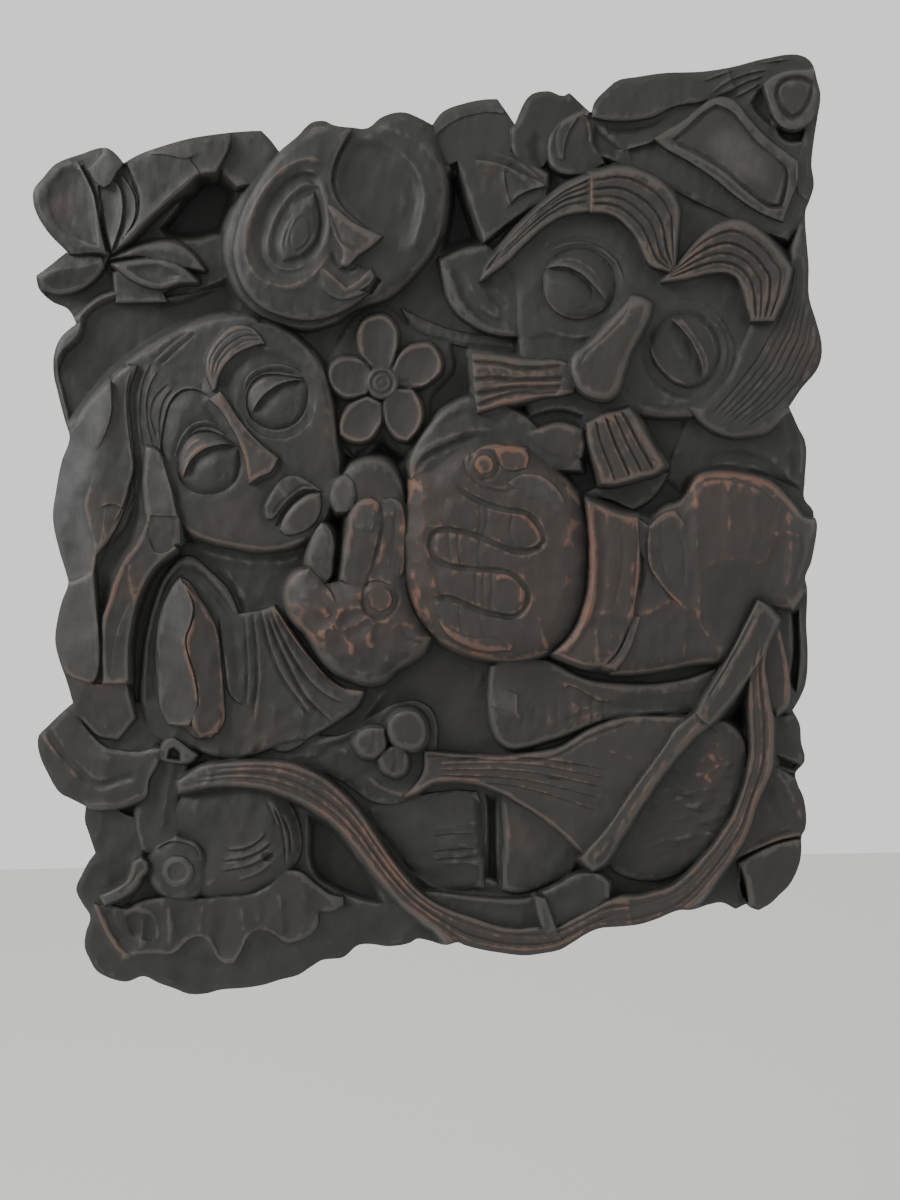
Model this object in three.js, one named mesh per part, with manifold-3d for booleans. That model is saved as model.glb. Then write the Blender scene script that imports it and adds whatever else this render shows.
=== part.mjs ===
// Carved wood relief: one block, flat at its back, cut in high relief on its front.
// Millimetres. The wall plane is y = 0, the front faces -Y, +X is right and +Z is up.
import * as THREE from "three";
import { mergeVertices } from "three/addons/utils/BufferGeometryUtils.js";
import Module from "manifold-3d";

// Driving dimensions. A level is a height above the wall plane.
const GROUND_LEVEL = 17;      // top of the uncut ground between the forms
const DEEP_LEVEL = 11;        // floor of the deepest hollows
const FOOT_LEVEL = 4;         // where each form starts, inside the ground
const OUTLINE_LEVEL = 45;     // the level at which the outlines below are stated
const FLARE_APEX = 540;       // the sides run towards a point this far in front of the wall
const FLARE_CENTRE = 11;      // and this far right of the origin
const EDGE = 2.5;             // bevel left by the chisel along each form
const GROOVE_DEPTH = 3;       // depth of the drawn lines
const CLEARANCE = 60;         // how far a cutting prism reaches above its floor
const ROUND_SIDES = 16;     // sides of a round outline

const wasm = await Module();
wasm.setup();

// A form cut lower lies a little further from the middle, because the sides flare to the wall.
function lay(outline, level) {
  const k = (FLARE_APEX - level) / (FLARE_APEX - OUTLINE_LEVEL);
  return outline.map(([u, v]) => new THREE.Vector2(FLARE_CENTRE + (u - FLARE_CENTRE) * k, v * k));
}

// Closed geometry to a solid that can be joined and cut.
function toSolid(geometry) {
  geometry.deleteAttribute("normal");
  geometry.deleteAttribute("uv");
  const merged = mergeVertices(geometry, 1e-4);
  const vertProperties = new Float32Array(merged.attributes.position.array);
  const triVerts = new Uint32Array(merged.index.array);
  return new wasm.Manifold(new wasm.Mesh({ numProp: 3, vertProperties, triVerts }));
}

// A prism over a laid outline, from one level to another, with a chiselled edge at its front.
// lean tips its front face: degrees about the u axis, then about the v axis.
function prism(points, from, to, { edge = EDGE, lean = [0, 0] } = {}) {
  const geometry = new THREE.ExtrudeGeometry(new THREE.Shape(points), {
    depth: to - from - 2 * edge,
    bevelEnabled: edge > 0,
    bevelThickness: edge,
    bevelSize: edge,
    bevelOffset: -edge,
    bevelSegments: 1,
  });
  geometry.translate(0, 0, from + edge);
  const middle = new THREE.Box2().setFromPoints(points).getCenter(new THREE.Vector2());
  geometry.translate(-middle.x, -middle.y, -to);
  geometry.rotateX(THREE.MathUtils.degToRad(lean[0]));
  geometry.rotateY(THREE.MathUtils.degToRad(lean[1]));
  geometry.translate(middle.x, middle.y, to);
  geometry.rotateX(Math.PI / 2);
  return toSolid(geometry);
}

// Outline helpers: a round, an oval, a leaf between two points and a band along a path.
function oval([u, v], across, up, turn = 0, sides = ROUND_SIDES) {
  const angle = THREE.MathUtils.degToRad(turn);
  const points = [];
  for (let i = 0; i < sides; i += 1) {
    const a = (2 * Math.PI * i) / sides;
    const x = across * Math.cos(a);
    const y = up * Math.sin(a);
    const du = x * Math.cos(angle) - y * Math.sin(angle);
    const dv = x * Math.sin(angle) + y * Math.cos(angle);
    points.push([u + du, v + dv]);
  }
  return points;
}

function round(centre, radius, sides = ROUND_SIDES) {
  return oval(centre, radius, radius, 0, sides);
}

function leaf([u0, v0], [u1, v1], leftBulge, rightBulge, steps = 6) {
  const along = new THREE.Vector2(u1 - u0, v1 - v0);
  const side = new THREE.Vector2(-along.y, along.x).normalize();
  const points = [];
  for (let i = 0; i < 2 * steps; i += 1) {
    const t = i < steps ? i / steps : 2 - i / steps;
    const bulge = (i < steps ? -rightBulge : leftBulge) * Math.sin(Math.PI * t);
    points.push([u0 + along.x * t + side.x * bulge, v0 + along.y * t + side.y * bulge]);
  }
  return points;
}

// path holds [u, v, half width]; the curve through it is drawn with a few steps a span.
function band(path, spans = 2) {
  const curve = new THREE.CatmullRomCurve3(path.map(([u, v, half]) => new THREE.Vector3(u, v, half)));
  const steps = spans * (path.length - 1);
  const left = [];
  const right = [];
  for (let i = 0; i <= steps; i += 1) {
    const point = curve.getPoint(i / steps);
    const tangent = curve.getTangent(i / steps);
    const side = new THREE.Vector2(-tangent.y, tangent.x).normalize();
    left.push([point.x + side.x * point.z, point.y + side.y * point.z]);
    right.push([point.x - side.x * point.z, point.y - side.y * point.z]);
  }
  return right.concat(left.reverse());
}

// A low dome, for eyes and knuckles.
function dome([u, v], across, up, base, top) {
  const [centre] = lay([[u, v]], top);
  const geometry = new THREE.SphereGeometry(1, 12, 8);
  geometry.scale(across, up, top - base);
  geometry.translate(centre.x, centre.y, base);
  geometry.rotateX(Math.PI / 2);
  return toSolid(geometry);
}

let relief = null;

function add(solid) {
  relief = relief ? relief.add(solid) : solid;
}

function cut(solid) {
  relief = relief.subtract(solid);
}

function form(outline, level, options) {
  add(prism(lay(outline, level), FOOT_LEVEL, level, options));
}

function hollow(outline, floor) {
  cut(prism(lay(outline, floor), floor, floor + CLEARANCE, { edge: 0 }));
}

// A drawn line: a shallow channel of one width along a path, cut into a form of this level.
function line(path, halfWidth, level) {
  const channel = lay(band(path.map(([u, v]) => [u, v, halfWidth])), level);
  cut(prism(channel, level - GROOVE_DEPTH, level + CLEARANCE, { edge: 0 }));
}

function carveGround() {
  const block = [
    [-201, 172], [-194, 186], [-165, 194], [-120, 200], [-84, 203], [-40, 205], [0, 208], [40, 214],
    [90, 212], [130, 226], [200, 236], [205, 215], [204, 150], [205, 100], [203, 60], [205, 40],
    [205, -60], [206, -90], [201, -107], [206, -130], [203, -145], [205, -185], [192, -212], [165, -219],
    [140, -221], [100, -226], [60, -236], [10, -238], [-15, -236], [-30, -239], [-45, -238], [-60, -243],
    [-90, -254], [-140, -260], [-190, -248], [-196, -218], [-200, -200], [-192, -182], [-196, -165],
    [-195, -152], [-207, -140], [-213, -115], [-199, -97], [-204, -60], [-199, -28], [-203, 5],
    [-195, 50], [-200, 82], [-197, 103], [-188, 111], [-191, 119], [-201, 130], [-192, 148],
  ];
  const sides = lay(block, GROUND_LEVEL);
  const squareBack = GROUND_LEVEL / 2;
  add(prism(sides, 0, squareBack, { edge: 0 }));
  add(prism(sides, FOOT_LEVEL, GROUND_LEVEL));
  hollow([[-120, 185], [-104, 184], [-106, 168], [-117, 158], [-137, 155], [-144, 163]], DEEP_LEVEL);
  hollow([[14, 186], [21, 178], [30, 152], [13, 144]], DEEP_LEVEL);
  hollow([[-53, 10], [-43, 7], [-46, -6], [-51, -2]], DEEP_LEVEL);
  hollow([[176, -95], [174, -118], [163, -111]], DEEP_LEVEL);
  hollow([[-72, -160], [-60, -166], [-34, -205], [-28, -213], [-54, -208], [-70, -195]], DEEP_LEVEL);
  hollow([[29, -155], [37, -157], [36, -200], [30, -200]], DEEP_LEVEL);
}

function carveBlossom() {
  form([[-199, 91], [-196, 104], [-187, 112], [-175, 122], [-158, 124], [-160, 104], [-184, 84]], 26);
  form([[-171, 141], [-190, 129], [-194, 119], [-181, 112], [-162, 119], [-141, 122], [-150, 134]], 34);
  form([[-171, 144], [-192, 148], [-203, 141], [-208, 135], [-199, 126], [-184, 131]], 40);
  form(leaf([-168, 141], [-121, 133], 11, 8), 41, { lean: [3, 0] });
  form([[-190, 149], [-200, 160], [-207, 176], [-202, 187], [-190, 196], [-166, 202], [-158, 194], [-166, 178],
    [-170, 148]], 45, { lean: [0, -4] });
  form([[-167, 147], [-164, 184], [-150, 198], [-122, 206], [-104, 207], [-118, 187], [-140, 171],
    [-157, 156]], 44, { lean: [-3, 0] });
  form([[-103, 204], [-95, 209], [-84, 209], [-75, 198], [-86, 186], [-104, 184]], 36);
}

function carveMoon() {
  form([[-75, 198], [-65, 206], [-57, 213], [-45, 211], [-28, 209], [-9, 217], [6, 211], [11, 195], [12, 176],
    [9, 156], [2, 142], [-8, 129], [-20, 121], [-36, 116], [-55, 108], [-75, 109], [-90, 116], [-101, 130],
    [-106, 147], [-102, 165], [-91, 182]], 46);
  form([[-73, 194], [-58, 204], [-38, 208], [-46, 191], [-47, 176], [-38, 163], [-21, 153], [-30, 147],
    [-28, 134], [-40, 120], [-55, 111], [-74, 112], [-90, 119], [-99, 132], [-103, 147], [-99, 164],
    [-88, 181]], 50);
  hollow(oval([-73, 160], 17, 27, -20), 46);
  add(dome([-67, 159], 9, 20, 44, 50));
  form([[-46, 160], [-36, 161], [-21, 153], [-30, 147], [-44, 145]], 55);
  form([[-52, 138], [-42, 130], [-28, 134], [-28, 128], [-42, 122], [-52, 128]], 52);
}

function carveTopLeaves() {
  form([[12, 217], [23, 221], [41, 223], [49, 212], [64, 190], [60, 172], [33, 150], [26, 163], [13, 187],
    [7, 205]], 38);
  form(leaf([32, 176], [56, 186], 10, 9), 42);
  form([[50, 210], [59, 225], [68, 227], [79, 225], [92, 214], [98, 196], [70, 186], [56, 196]], 35);
  form(leaf([72, 190], [92, 213], 9, 8), 40);
}

function carveCap() {
  form([[90, 214], [100, 228], [116, 233], [150, 235], [182, 241], [203, 242], [211, 222], [208, 200],
    [208, 176], [204, 160], [192, 147], [160, 158], [125, 180], [100, 186], [92, 200]], 44, { lean: [-2, 2] });
  form([[126, 199], [143, 212], [152, 221], [168, 216], [183, 199], [199, 190], [200, 180], [193, 161],
    [184, 158], [166, 169], [150, 183], [135, 192]], 48);
  form([[133, 200], [150, 190], [170, 173], [184, 167], [191, 172], [193, 184], [175, 204], [160, 217],
    [149, 213]], 52);
  form([[182, 228], [192, 234], [205, 234], [210, 226], [207, 213], [200, 206], [190, 208], [184, 217]], 54);
  form([[189, 226], [203, 229], [205, 224], [197, 212], [191, 218]], 57, { edge: 1.5 });
}

function carveManHead() {
  form([[8, 140], [20, 146], [34, 147], [47, 136], [51, 118], [50, 101], [32, 103], [18, 110], [11, 125]], 36);
  form([[51, 93], [50, 125], [44, 146], [60, 165], [80, 178], [104, 182], [125, 176], [150, 166], [176, 155],
    [197, 130], [192, 88], [170, 62], [145, 57], [112, 58], [84, 52], [60, 58], [54, 76]], 41);
  form([[205, 163], [206, 135], [207, 118], [214, 94], [212, 80], [203, 69], [193, 56], [184, 46], [165, 44],
    [150, 52], [143, 61], [160, 75], [172, 95], [180, 110], [196, 133]], 45, { lean: [0, 3] });
  form([[31, 132], [45, 149], [60, 164], [76, 176], [90, 183], [104, 187], [120, 184], [134, 173], [137, 160],
    [135, 133], [122, 134], [117, 147], [109, 158], [97, 163], [84, 162], [68, 153], [50, 136], [40, 127]], 51);
  form([[129, 130], [138, 138], [150, 151], [166, 158], [179, 153], [196, 133], [188, 106], [176, 106],
    [171, 125], [162, 131], [146, 129]], 51);
  add(dome([83, 121], 18, 14, 38, 50));
  add(dome([136, 89], 14, 17, 38, 50));
  form([[112, 119], [122, 116], [118, 103], [109, 88], [104, 71], [98, 66], [88, 68], [80, 76], [79, 87],
    [90, 97], [106, 113]], 58, { edge: 4 });
  form([[25, 91], [42, 90], [72, 88], [81, 80], [78, 66], [42, 64], [28, 60], [26, 75]], 52, { lean: [2, -3] });
  form([[87, 53], [98, 60], [110, 61], [120, 46], [129, 29], [118, 25], [95, 20], [90, 36]], 52);
  form([[55, 47], [62, 39], [72, 34], [84, 35], [86, 50], [70, 53]], 46);
}

function carveFlower() {
  const centre = [-23, 76];
  const petals = 5;
  const reach = 21;
  for (let i = 0; i < petals; i += 1) {
    const angle = THREE.MathUtils.degToRad(95 - (360 / petals) * i);
    const middle = [centre[0] + reach * Math.cos(angle), centre[1] + reach * Math.sin(angle)];
    form(oval(middle, 14, 11, 95 - (360 / petals) * i, 12), 50, { edge: 3 });
  }
  form(round(centre, 14, 14), 47);
  form(round(centre, 7, 10), 51, { edge: 1.5 });
}

function carveWoman() {
  form([[-194, 51], [-185, 67], [-170, 83], [-150, 97], [-130, 107], [-105, 113], [-95, 109], [-100, 88],
    [-137, 72], [-143, 52], [-138, 10], [-137, -11], [-150, -19], [-160, -35], [-168, -60], [-171, -84],
    [-176, -94], [-200, -94], [-206, -75], [-208, -58], [-203, -38], [-199, -28], [-204, -10], [-206, 8],
    [-203, 23], [-199, 38]], 39);
  form([[-198, 40], [-190, 59], [-176, 77], [-168, 64], [-182, 35], [-188, 15], [-184, -14], [-188, -26],
    [-199, -28], [-205, 5]], 43, { lean: [0, -4] });
  form([[-156, 28], [-150, 46], [-142, 39], [-139, 20], [-138, -8], [-150, -17], [-160, -33], [-168, -60],
    [-171, -83], [-188, -83], [-183, -60], [-177, -38], [-165, -14]], 45);
  form([[-199, -30], [-186, -26], [-185, -65], [-189, -83], [-203, -80], [-208, -58], [-204, -40]], 44);
  form([[-141, 50], [-137, 68], [-125, 76], [-117, 82], [-112, 98], [-97, 108], [-78, 104], [-62, 95],
    [-54, 80], [-50, 50], [-52, 22], [-60, 0], [-72, -9], [-95, -12], [-115, -9], [-130, -2], [-138, 10]], 43);
  hollow(oval([-79, 68], 17, 14, 35), 39);
  add(dome([-79, 66], 13, 12, 36, 45));
  hollow(oval([-119, 36], 17, 14, 30), 39);
  add(dome([-119, 34], 13, 12, 36, 45));
  form([[-116, 71], [-110, 73], [-102, 61], [-92, 47], [-81, 38], [-86, 29], [-98, 25], [-101, 42],
    [-109, 57]], 52);
  form(leaf([-89, 5], [-59, 20], 8, 9), 49, { edge: 3 });
  form([[-138, -14], [-120, -10], [-95, -14], [-66, -8], [-60, -20], [-80, -30], [-78, -52], [-106, -52],
    [-113, -35]], 30);
  form([[-160, -96], [-158, -65], [-151, -38], [-142, -21], [-132, -15], [-120, -24], [-108, -42],
    [-103, -60], [-103, -98], [-112, -122], [-140, -121], [-150, -116]], 36);
  form([[-152, -108], [-152, -70], [-149, -47], [-141, -31], [-136, -27], [-128, -37], [-118, -56],
    [-116, -90], [-122, -112]], 41, { lean: [3, 0] });
  form([[-106, -48], [-86, -44], [-73, -64], [-58, -83], [-38, -92], [-42, -100], [-60, -112], [-85, -120],
    [-107, -127], [-119, -124], [-110, -98]], 36, { lean: [0, 3] });
  line([[-98, -48], [-97, -75], [-103, -105]], 1.2, 36);
  line([[-86, -50], [-80, -75], [-68, -105]], 1.2, 36);
  line([[-80, -56], [-66, -82], [-45, -98]], 1.2, 36);
}

function carveHands() {
  form([[-12, 20], [-10, 30], [-4, 44], [8, 60], [22, 67], [32, 66], [52, 58], [58, 44], [40, 40],
    [10, 28]], 47);
  form([[-50, 27], [-43, 26], [-41, 17], [-45, 9], [-51, 9], [-54, 14]], 44, { edge: 2 });
  form([[-60, 1], [-66, -14], [-66, -23], [-58, -31], [-52, -18], [-53, -3]], 46, { edge: 2 });
  form([[-79, -38], [-76, -27], [-66, -22], [-60, -33], [-49, -28], [-46, -8], [-41, 8], [-33, 16], [-20, 16],
    [-12, 10], [-13, -30], [-10, -45], [-1, -60], [-5, -71], [-20, -80], [-28, -86], [-45, -84], [-60, -72],
    [-72, -54]], 50, { edge: 5 });
  form([[-44, 0], [-40, 9], [-33, 14], [-27, 9], [-27, -8], [-32, -32], [-46, -27]], 54, { edge: 3 });
  form([[-9, 26], [-13, 8], [-14, -15], [-10, -42], [0, -59], [15, -69], [32, -75], [50, -75], [68, -70],
    [80, -55], [85, -35], [86, 0], [80, 18], [68, 30], [52, 41], [35, 43], [18, 41], [2, 36]], 57, { edge: 6 });
  const fingers = [[19, 18], [40, 8], [60, 0], [58, -13], [35, -10], [5, -3], [3, -18], [30, -25], [52, -36],
    [46, -51], [22, -45], [2, -41]];
  line(fingers, 1.1, 57);
  form(round([31, 31], 8, 10), 59, { edge: 2 });
}

function carveSleeve() {
  form([[130, 28], [145, 60], [160, 50], [203, 64], [207, 45], [207, 12], [185, 24], [150, 27], [138, 14]], 28);
  form([[114, 2], [128, 6], [142, 15], [148, 24], [175, 23], [190, 17], [205, 1], [214, -6], [212, -18],
    [207, -33], [196, -45], [183, -45], [170, -67], [158, -80], [130, -84], [105, -86], [94, -82],
    [108, -62], [122, -40]], 48, { edge: 4 });
  form([[86, 11], [95, 7], [114, 1], [121, -5], [121, -25], [132, -43], [114, -52], [106, -66], [95, -81],
    [85, -79], [70, -73], [80, -61], [88, -45], [90, -20]], 53, { edge: 3 });
  line([[114, 0], [114, -30], [110, -50]], 1.1, 53);
  form([[196, -45], [208, -35], [209, -75], [205, -100], [200, -107], [192, -100], [194, -70], [186, -56]], 34);
}

function carveInstrument() {
  form([[-20, -86], [0, -66], [25, -75], [32, -85], [32, -110], [37, -125], [0, -124], [-5, -100]], 24);
  form([[33, -78], [50, -75], [68, -76], [85, -84], [105, -88], [140, -87], [160, -82], [150, -97],
    [146, -106], [118, -108], [92, -110], [70, -120], [50, -126], [38, -122], [32, -105]], 38);
  form([[-107, -127], [-70, -118], [-40, -112], [-22, -98], [-8, -98], [0, -124], [0, -136], [-13, -152],
    [-35, -156], [-50, -148], [-70, -137], [-90, -130]], 30);
  form([[-35, -152], [-10, -154], [10, -148], [25, -150], [26, -203], [6, -203], [-15, -193], [-30, -174]], 27);
  form([[38, -158], [50, -160], [66, -171], [80, -188], [74, -200], [55, -208], [37, -205]], 30);
  form([[152, -116], [163, -114], [172, -124], [170, -145], [160, -175], [145, -193], [122, -202], [98, -197],
    [120, -157], [140, -128]], 31);
  form([[-38, -138], [-28, -129], [0, -127], [40, -131], [72, -126], [92, -114], [115, -109], [142, -110],
    [128, -130], [112, -152], [85, -188], [62, -167], [45, -155], [25, -145], [0, -143], [-13, -150],
    [-28, -147]], 42);
  const strings = [[-133, -136, -140], [-138, -144, -156]];
  for (const [left, middle, right] of strings) {
    line([[0, left], [45, middle], [98, right]], 0.9, 42);
  }
  form(band([[184, -48, 5], [174, -68, 6], [162, -88, 6.5], [151, -109, 6], [134, -127, 6], [116, -153, 6],
    [100, -176, 6], [87, -193, 6]]), 50);
  const pegs = [{ at: [-14, -113], level: 55 }, { at: [-35, -120], level: 49 }, { at: [-22, -131], level: 47 }];
  for (const { at, level } of pegs) {
    form(oval(at, 10, 10, 12, 7), level, { edge: 1 });
  }
}

function carveRibbon() {
  form([[-14, -204], [10, -206], [40, -211], [60, -209], [80, -199], [96, -203], [98, -213], [80, -226],
    [45, -234], [10, -222]], 38);
  form(band([[-141, -141, 5], [-120, -137.5, 6], [-100, -138, 7], [-82, -141.5, 9], [-65, -149.5, 9.5],
    [-50, -161, 9.5], [-38, -177, 9], [-27, -195, 8.5], [-14, -212, 8], [3, -225, 8], [22, -234, 8.5],
    [42, -238, 8], [60, -237, 8], [76, -231, 8.5], [89, -223, 8.5]]), 47);
  form(band([[95, -223, 7], [112, -221, 8], [130, -215, 8.5], [147, -205, 9], [160, -190, 9], [171, -172, 8.5],
    [179, -152, 8], [183.5, -130, 6.5], [183, -110, 6.5], [181, -92, 6], [183, -66, 5]]), 46);
  form(band([[59, -209, 2.5], [64, -230, 3], [67, -240, 3]]), 50, { edge: 1 });
  line([[-100, -136], [-65, -147], [-38, -173], [-14, -208], [22, -230], [50, -235]], 0.9, 47);
}

function carveLowerLeft() {
  form([[-196, -154], [-197, -165], [-192, -181], [-204, -201], [-197, -217], [-180, -210], [-166, -190],
    [-163, -158], [-176, -153]], 29);
  form([[-166, -152], [-160, -136], [-153, -122], [-146, -117], [-138, -123], [-143, -150], [-146, -172],
    [-160, -182]], 33);
  form([[-193, -212], [-198, -219], [-201, -236], [-195, -250], [-178, -257], [-168, -254], [-143, -265],
    [-110, -262], [-80, -254], [-67, -247], [-55, -244], [-50, -226], [-70, -214], [-150, -212]], 26);
  form([[-191, -209], [-172, -200], [-155, -206], [-130, -207], [-105, -206], [-85, -194], [-68, -202],
    [-53, -210], [-56, -216], [-67, -219], [-73, -232], [-86, -237], [-98, -229], [-108, -232], [-114, -245],
    [-122, -247], [-133, -231], [-147, -239], [-160, -241], [-178, -243], [-188, -230]], 35);
  form([[-146, -150], [-130, -144], [-105, -144], [-90, -149], [-80, -158], [-76, -172], [-78, -186],
    [-88, -197], [-105, -205], [-135, -205], [-139, -190], [-144, -173]], 43, { edge: 6 });
  form([[-155, -178], [-147, -172], [-135, -176], [-130, -184], [-131, -200], [-145, -208], [-158, -202],
    [-161, -190]], 46);
  form(round([-145, -193], 10, 12), 51, { edge: 2 });
  form(band([[-168, -189, 4], [-172, -200, 3], [-187, -208, 3.5]]), 42, { edge: 1.5 });
}

function carveLowerLeaves() {
  form([[-200, -94], [-172, -84], [-164, -100], [-152, -119], [-160, -125], [-180, -122], [-192, -110]], 31);
  form([[-200, -95], [-212, -105], [-221, -116], [-217, -133], [-208, -147], [-195, -153], [-178, -155],
    [-162, -149], [-154, -130], [-154, -122], [-176, -122], [-190, -113]], 38, { edge: 4 });
  form([[189, -112], [201, -107], [206, -124], [208, -136], [203, -144], [190, -140]], 30);
  form([[160, -200], [172, -195], [176, -217], [165, -219], [150, -217]], 24);
  form([[189, -138], [200, -143], [208, -158], [209, -174], [206, -179], [185, -186], [164, -197],
    [176, -176], [184, -155]], 33);
  form([[206, -180], [207, -191], [202, -206], [190, -217], [181, -222], [177, -214], [172, -194],
    [185, -186]], 37, { edge: 4 });
}

carveGround();
carveBlossom();
carveMoon();
carveTopLeaves();
carveCap();
carveManHead();
carveFlower();
carveWoman();
carveHands();
carveSleeve();
carveInstrument();
carveRibbon();
carveLowerLeft();
carveLowerLeaves();

const { vertProperties, triVerts } = relief.getMesh();
const geometry = new THREE.BufferGeometry();
geometry.setAttribute("position", new THREE.BufferAttribute(new Float32Array(vertProperties), 3));
geometry.setIndex(new THREE.BufferAttribute(new Uint32Array(triVerts), 1));
geometry.computeVertexNormals();

const stainedWood = new THREE.MeshStandardMaterial({ color: 0x2b2421, roughness: 0.6, metalness: 0 });
const panel = new THREE.Mesh(geometry, stainedWood);
panel.name = "carved_panel";

const part = new THREE.Group();
part.add(panel);
export default part;
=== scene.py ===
"""Carved wood relief: two figures with an instrument, cut from one block of dark stained wood."""

import math

import bmesh
import bpy
import mathutils
import numpy as np
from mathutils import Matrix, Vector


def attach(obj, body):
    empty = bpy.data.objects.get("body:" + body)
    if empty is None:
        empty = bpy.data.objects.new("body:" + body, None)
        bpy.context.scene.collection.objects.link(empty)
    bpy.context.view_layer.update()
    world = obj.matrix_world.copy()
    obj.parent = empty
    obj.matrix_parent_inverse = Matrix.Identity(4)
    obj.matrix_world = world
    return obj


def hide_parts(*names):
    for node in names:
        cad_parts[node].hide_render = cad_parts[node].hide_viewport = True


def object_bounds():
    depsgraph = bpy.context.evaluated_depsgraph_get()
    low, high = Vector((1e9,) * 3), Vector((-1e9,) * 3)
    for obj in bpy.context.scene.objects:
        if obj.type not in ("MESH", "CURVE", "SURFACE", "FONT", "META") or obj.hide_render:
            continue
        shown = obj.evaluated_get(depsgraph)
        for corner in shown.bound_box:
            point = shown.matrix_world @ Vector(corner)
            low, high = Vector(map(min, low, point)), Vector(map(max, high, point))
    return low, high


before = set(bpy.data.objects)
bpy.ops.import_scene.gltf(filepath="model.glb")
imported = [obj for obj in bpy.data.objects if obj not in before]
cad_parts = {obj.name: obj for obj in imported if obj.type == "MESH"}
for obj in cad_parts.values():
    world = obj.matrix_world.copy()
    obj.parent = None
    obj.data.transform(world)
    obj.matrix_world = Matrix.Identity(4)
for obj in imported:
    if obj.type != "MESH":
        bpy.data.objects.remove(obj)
cad_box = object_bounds()

# The carving is worked out as a field of heights above the wall plane, in millimetres.
# u runs to the right and v upwards, both as seen from the front at OUTLINE_LEVEL.
GROUND_LEVEL = 26.0      # the cleared ground between the forms
OUTLINE_LEVEL = 45.0     # the height at which u and v are true
FLARE_APEX = 540.0       # lower surfaces spread away from a point this far in front of the wall
FLARE_CENTRE = 11.0      # and this far right of the origin
CORNER = math.radians(48)  # an outline has a corner where it bends by more than this
STEP = 1.6               # spacing of the points along a curve
CHAMFER = 2.9            # a rim narrower than this is cut flat
SKIRT = 7.0              # the sides of a form reach this far out


def tangent(points, i, closed, chord, length):
    """The direction of a curve at a point, scaled for a span of this length."""
    count = len(points)
    if not closed and i in (0, count - 1):
        return chord
    before = points[i] - points[i - 1]
    after = points[(i + 1) % count] - points[i]
    turn = math.atan2(before[0] * after[1] - before[1] * after[0], before @ after)
    if abs(turn) > CORNER:
        return chord
    way = before / (np.hypot(*before) + 1e-9) + after / (np.hypot(*after) + 1e-9)
    return way / (np.hypot(*way) + 1e-9) * length


def curve(points, closed):
    """A smooth curve through the points that keeps its corners."""
    points = np.asarray(points, float)
    count = len(points)
    out = []
    for i in range(count if closed else count - 1):
        a, b = points[i], points[(i + 1) % count]
        chord = b - a
        length = np.hypot(*chord)
        start = tangent(points, i, closed, chord, length)
        end = tangent(points, (i + 1) % count, closed, chord, length)
        steps = max(1, int(round(length / STEP)))
        t = (np.arange(steps) / steps)[:, None]
        out.append((2 * t**3 - 3 * t**2 + 1) * a + (t**3 - 2 * t**2 + t) * start
                   + (-2 * t**3 + 3 * t**2) * b + (t**3 - t**2) * end)
    if not closed:
        out.append(points[-1:])
    return np.concatenate(out)


def oval(centre, across, up, turn=0.0, start=0.0, sweep=360.0):
    """Points round an oval, or along a part of it."""
    count = max(6, int(sweep / 18))
    last = 0 if sweep >= 360 else 1
    angle = math.radians(turn)
    points = []
    for i in range(count + last):
        a = math.radians(start + sweep * i / count)
        x, y = across * math.cos(a), up * math.sin(a)
        points.append((centre[0] + x * math.cos(angle) - y * math.sin(angle),
                       centre[1] + x * math.sin(angle) + y * math.cos(angle)))
    return points


def between(first, second, part):
    """A path part of the way from one path to another, both with any number of points."""
    t = np.linspace(0, 1, 24)
    lines = []
    for path in (np.asarray(first, float), np.asarray(second, float)):
        run = np.concatenate([[0], np.cumsum(np.hypot(*np.diff(path, axis=0).T))])
        lines.append(np.stack([np.interp(t * run[-1], run, path[:, k]) for k in (0, 1)], axis=1))
    return (lines[0] + (lines[1] - lines[0]) * part).tolist()


def ramp(x, low, high):
    """0 below low, 1 above high and smooth between."""
    t = np.clip((x - low) / (high - low), 0.0, 1.0)
    return t * t * (3.0 - 2.0 * t)


def scatter(a, b, seed):
    """A repeatable number from 0 to 1 for each cell of a grid."""
    h = np.sin(a * 127.1 + b * 311.7 + seed * 17.3) * 43758.5453
    return h - np.floor(h)


def scallops(u, v, pitch, stretch=1.0, turn=0.0, seed=0, keen=12.0):
    """Overlapping gouge cuts: 0 in the middle of a cut, about 1 on the crests between."""
    angle = math.radians(turn)
    p = (u * math.cos(angle) + v * math.sin(angle)) / (pitch * stretch)
    q = (-u * math.sin(angle) + v * math.cos(angle)) / pitch
    i, j = np.floor(p), np.floor(q)
    total = np.zeros(p.shape)
    for di in (-1, 0, 1):
        for dj in (-1, 0, 1):
            a, b = i + di, j + dj
            x = a + 0.15 + 0.7 * scatter(a, b, seed)
            y = b + 0.15 + 0.7 * scatter(b, a, seed + 5)
            total += np.exp(-keen * ((p - x) ** 2 + (q - y) ** 2))
    return np.clip(-np.log(total + 1e-9) / keen / 0.27, -0.2, 1.5)


def blur(a, cells):
    """A soft average over about this many cells, by three passes of a box."""
    width = max(1, int(cells))
    for axis in (0, 1):
        n = a.shape[axis]
        for _ in range(3):
            pad = [(0, 0), (0, 0)]
            pad[axis] = (width + 1, width)
            total = np.cumsum(np.pad(a, pad, mode="edge"), axis=axis, dtype=np.float64)
            high = np.take(total, np.arange(2 * width + 1, 2 * width + 1 + n), axis=axis)
            low = np.take(total, np.arange(n), axis=axis)
            a = ((high - low) / (2 * width + 1)).astype(np.float32)
    return a


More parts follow.
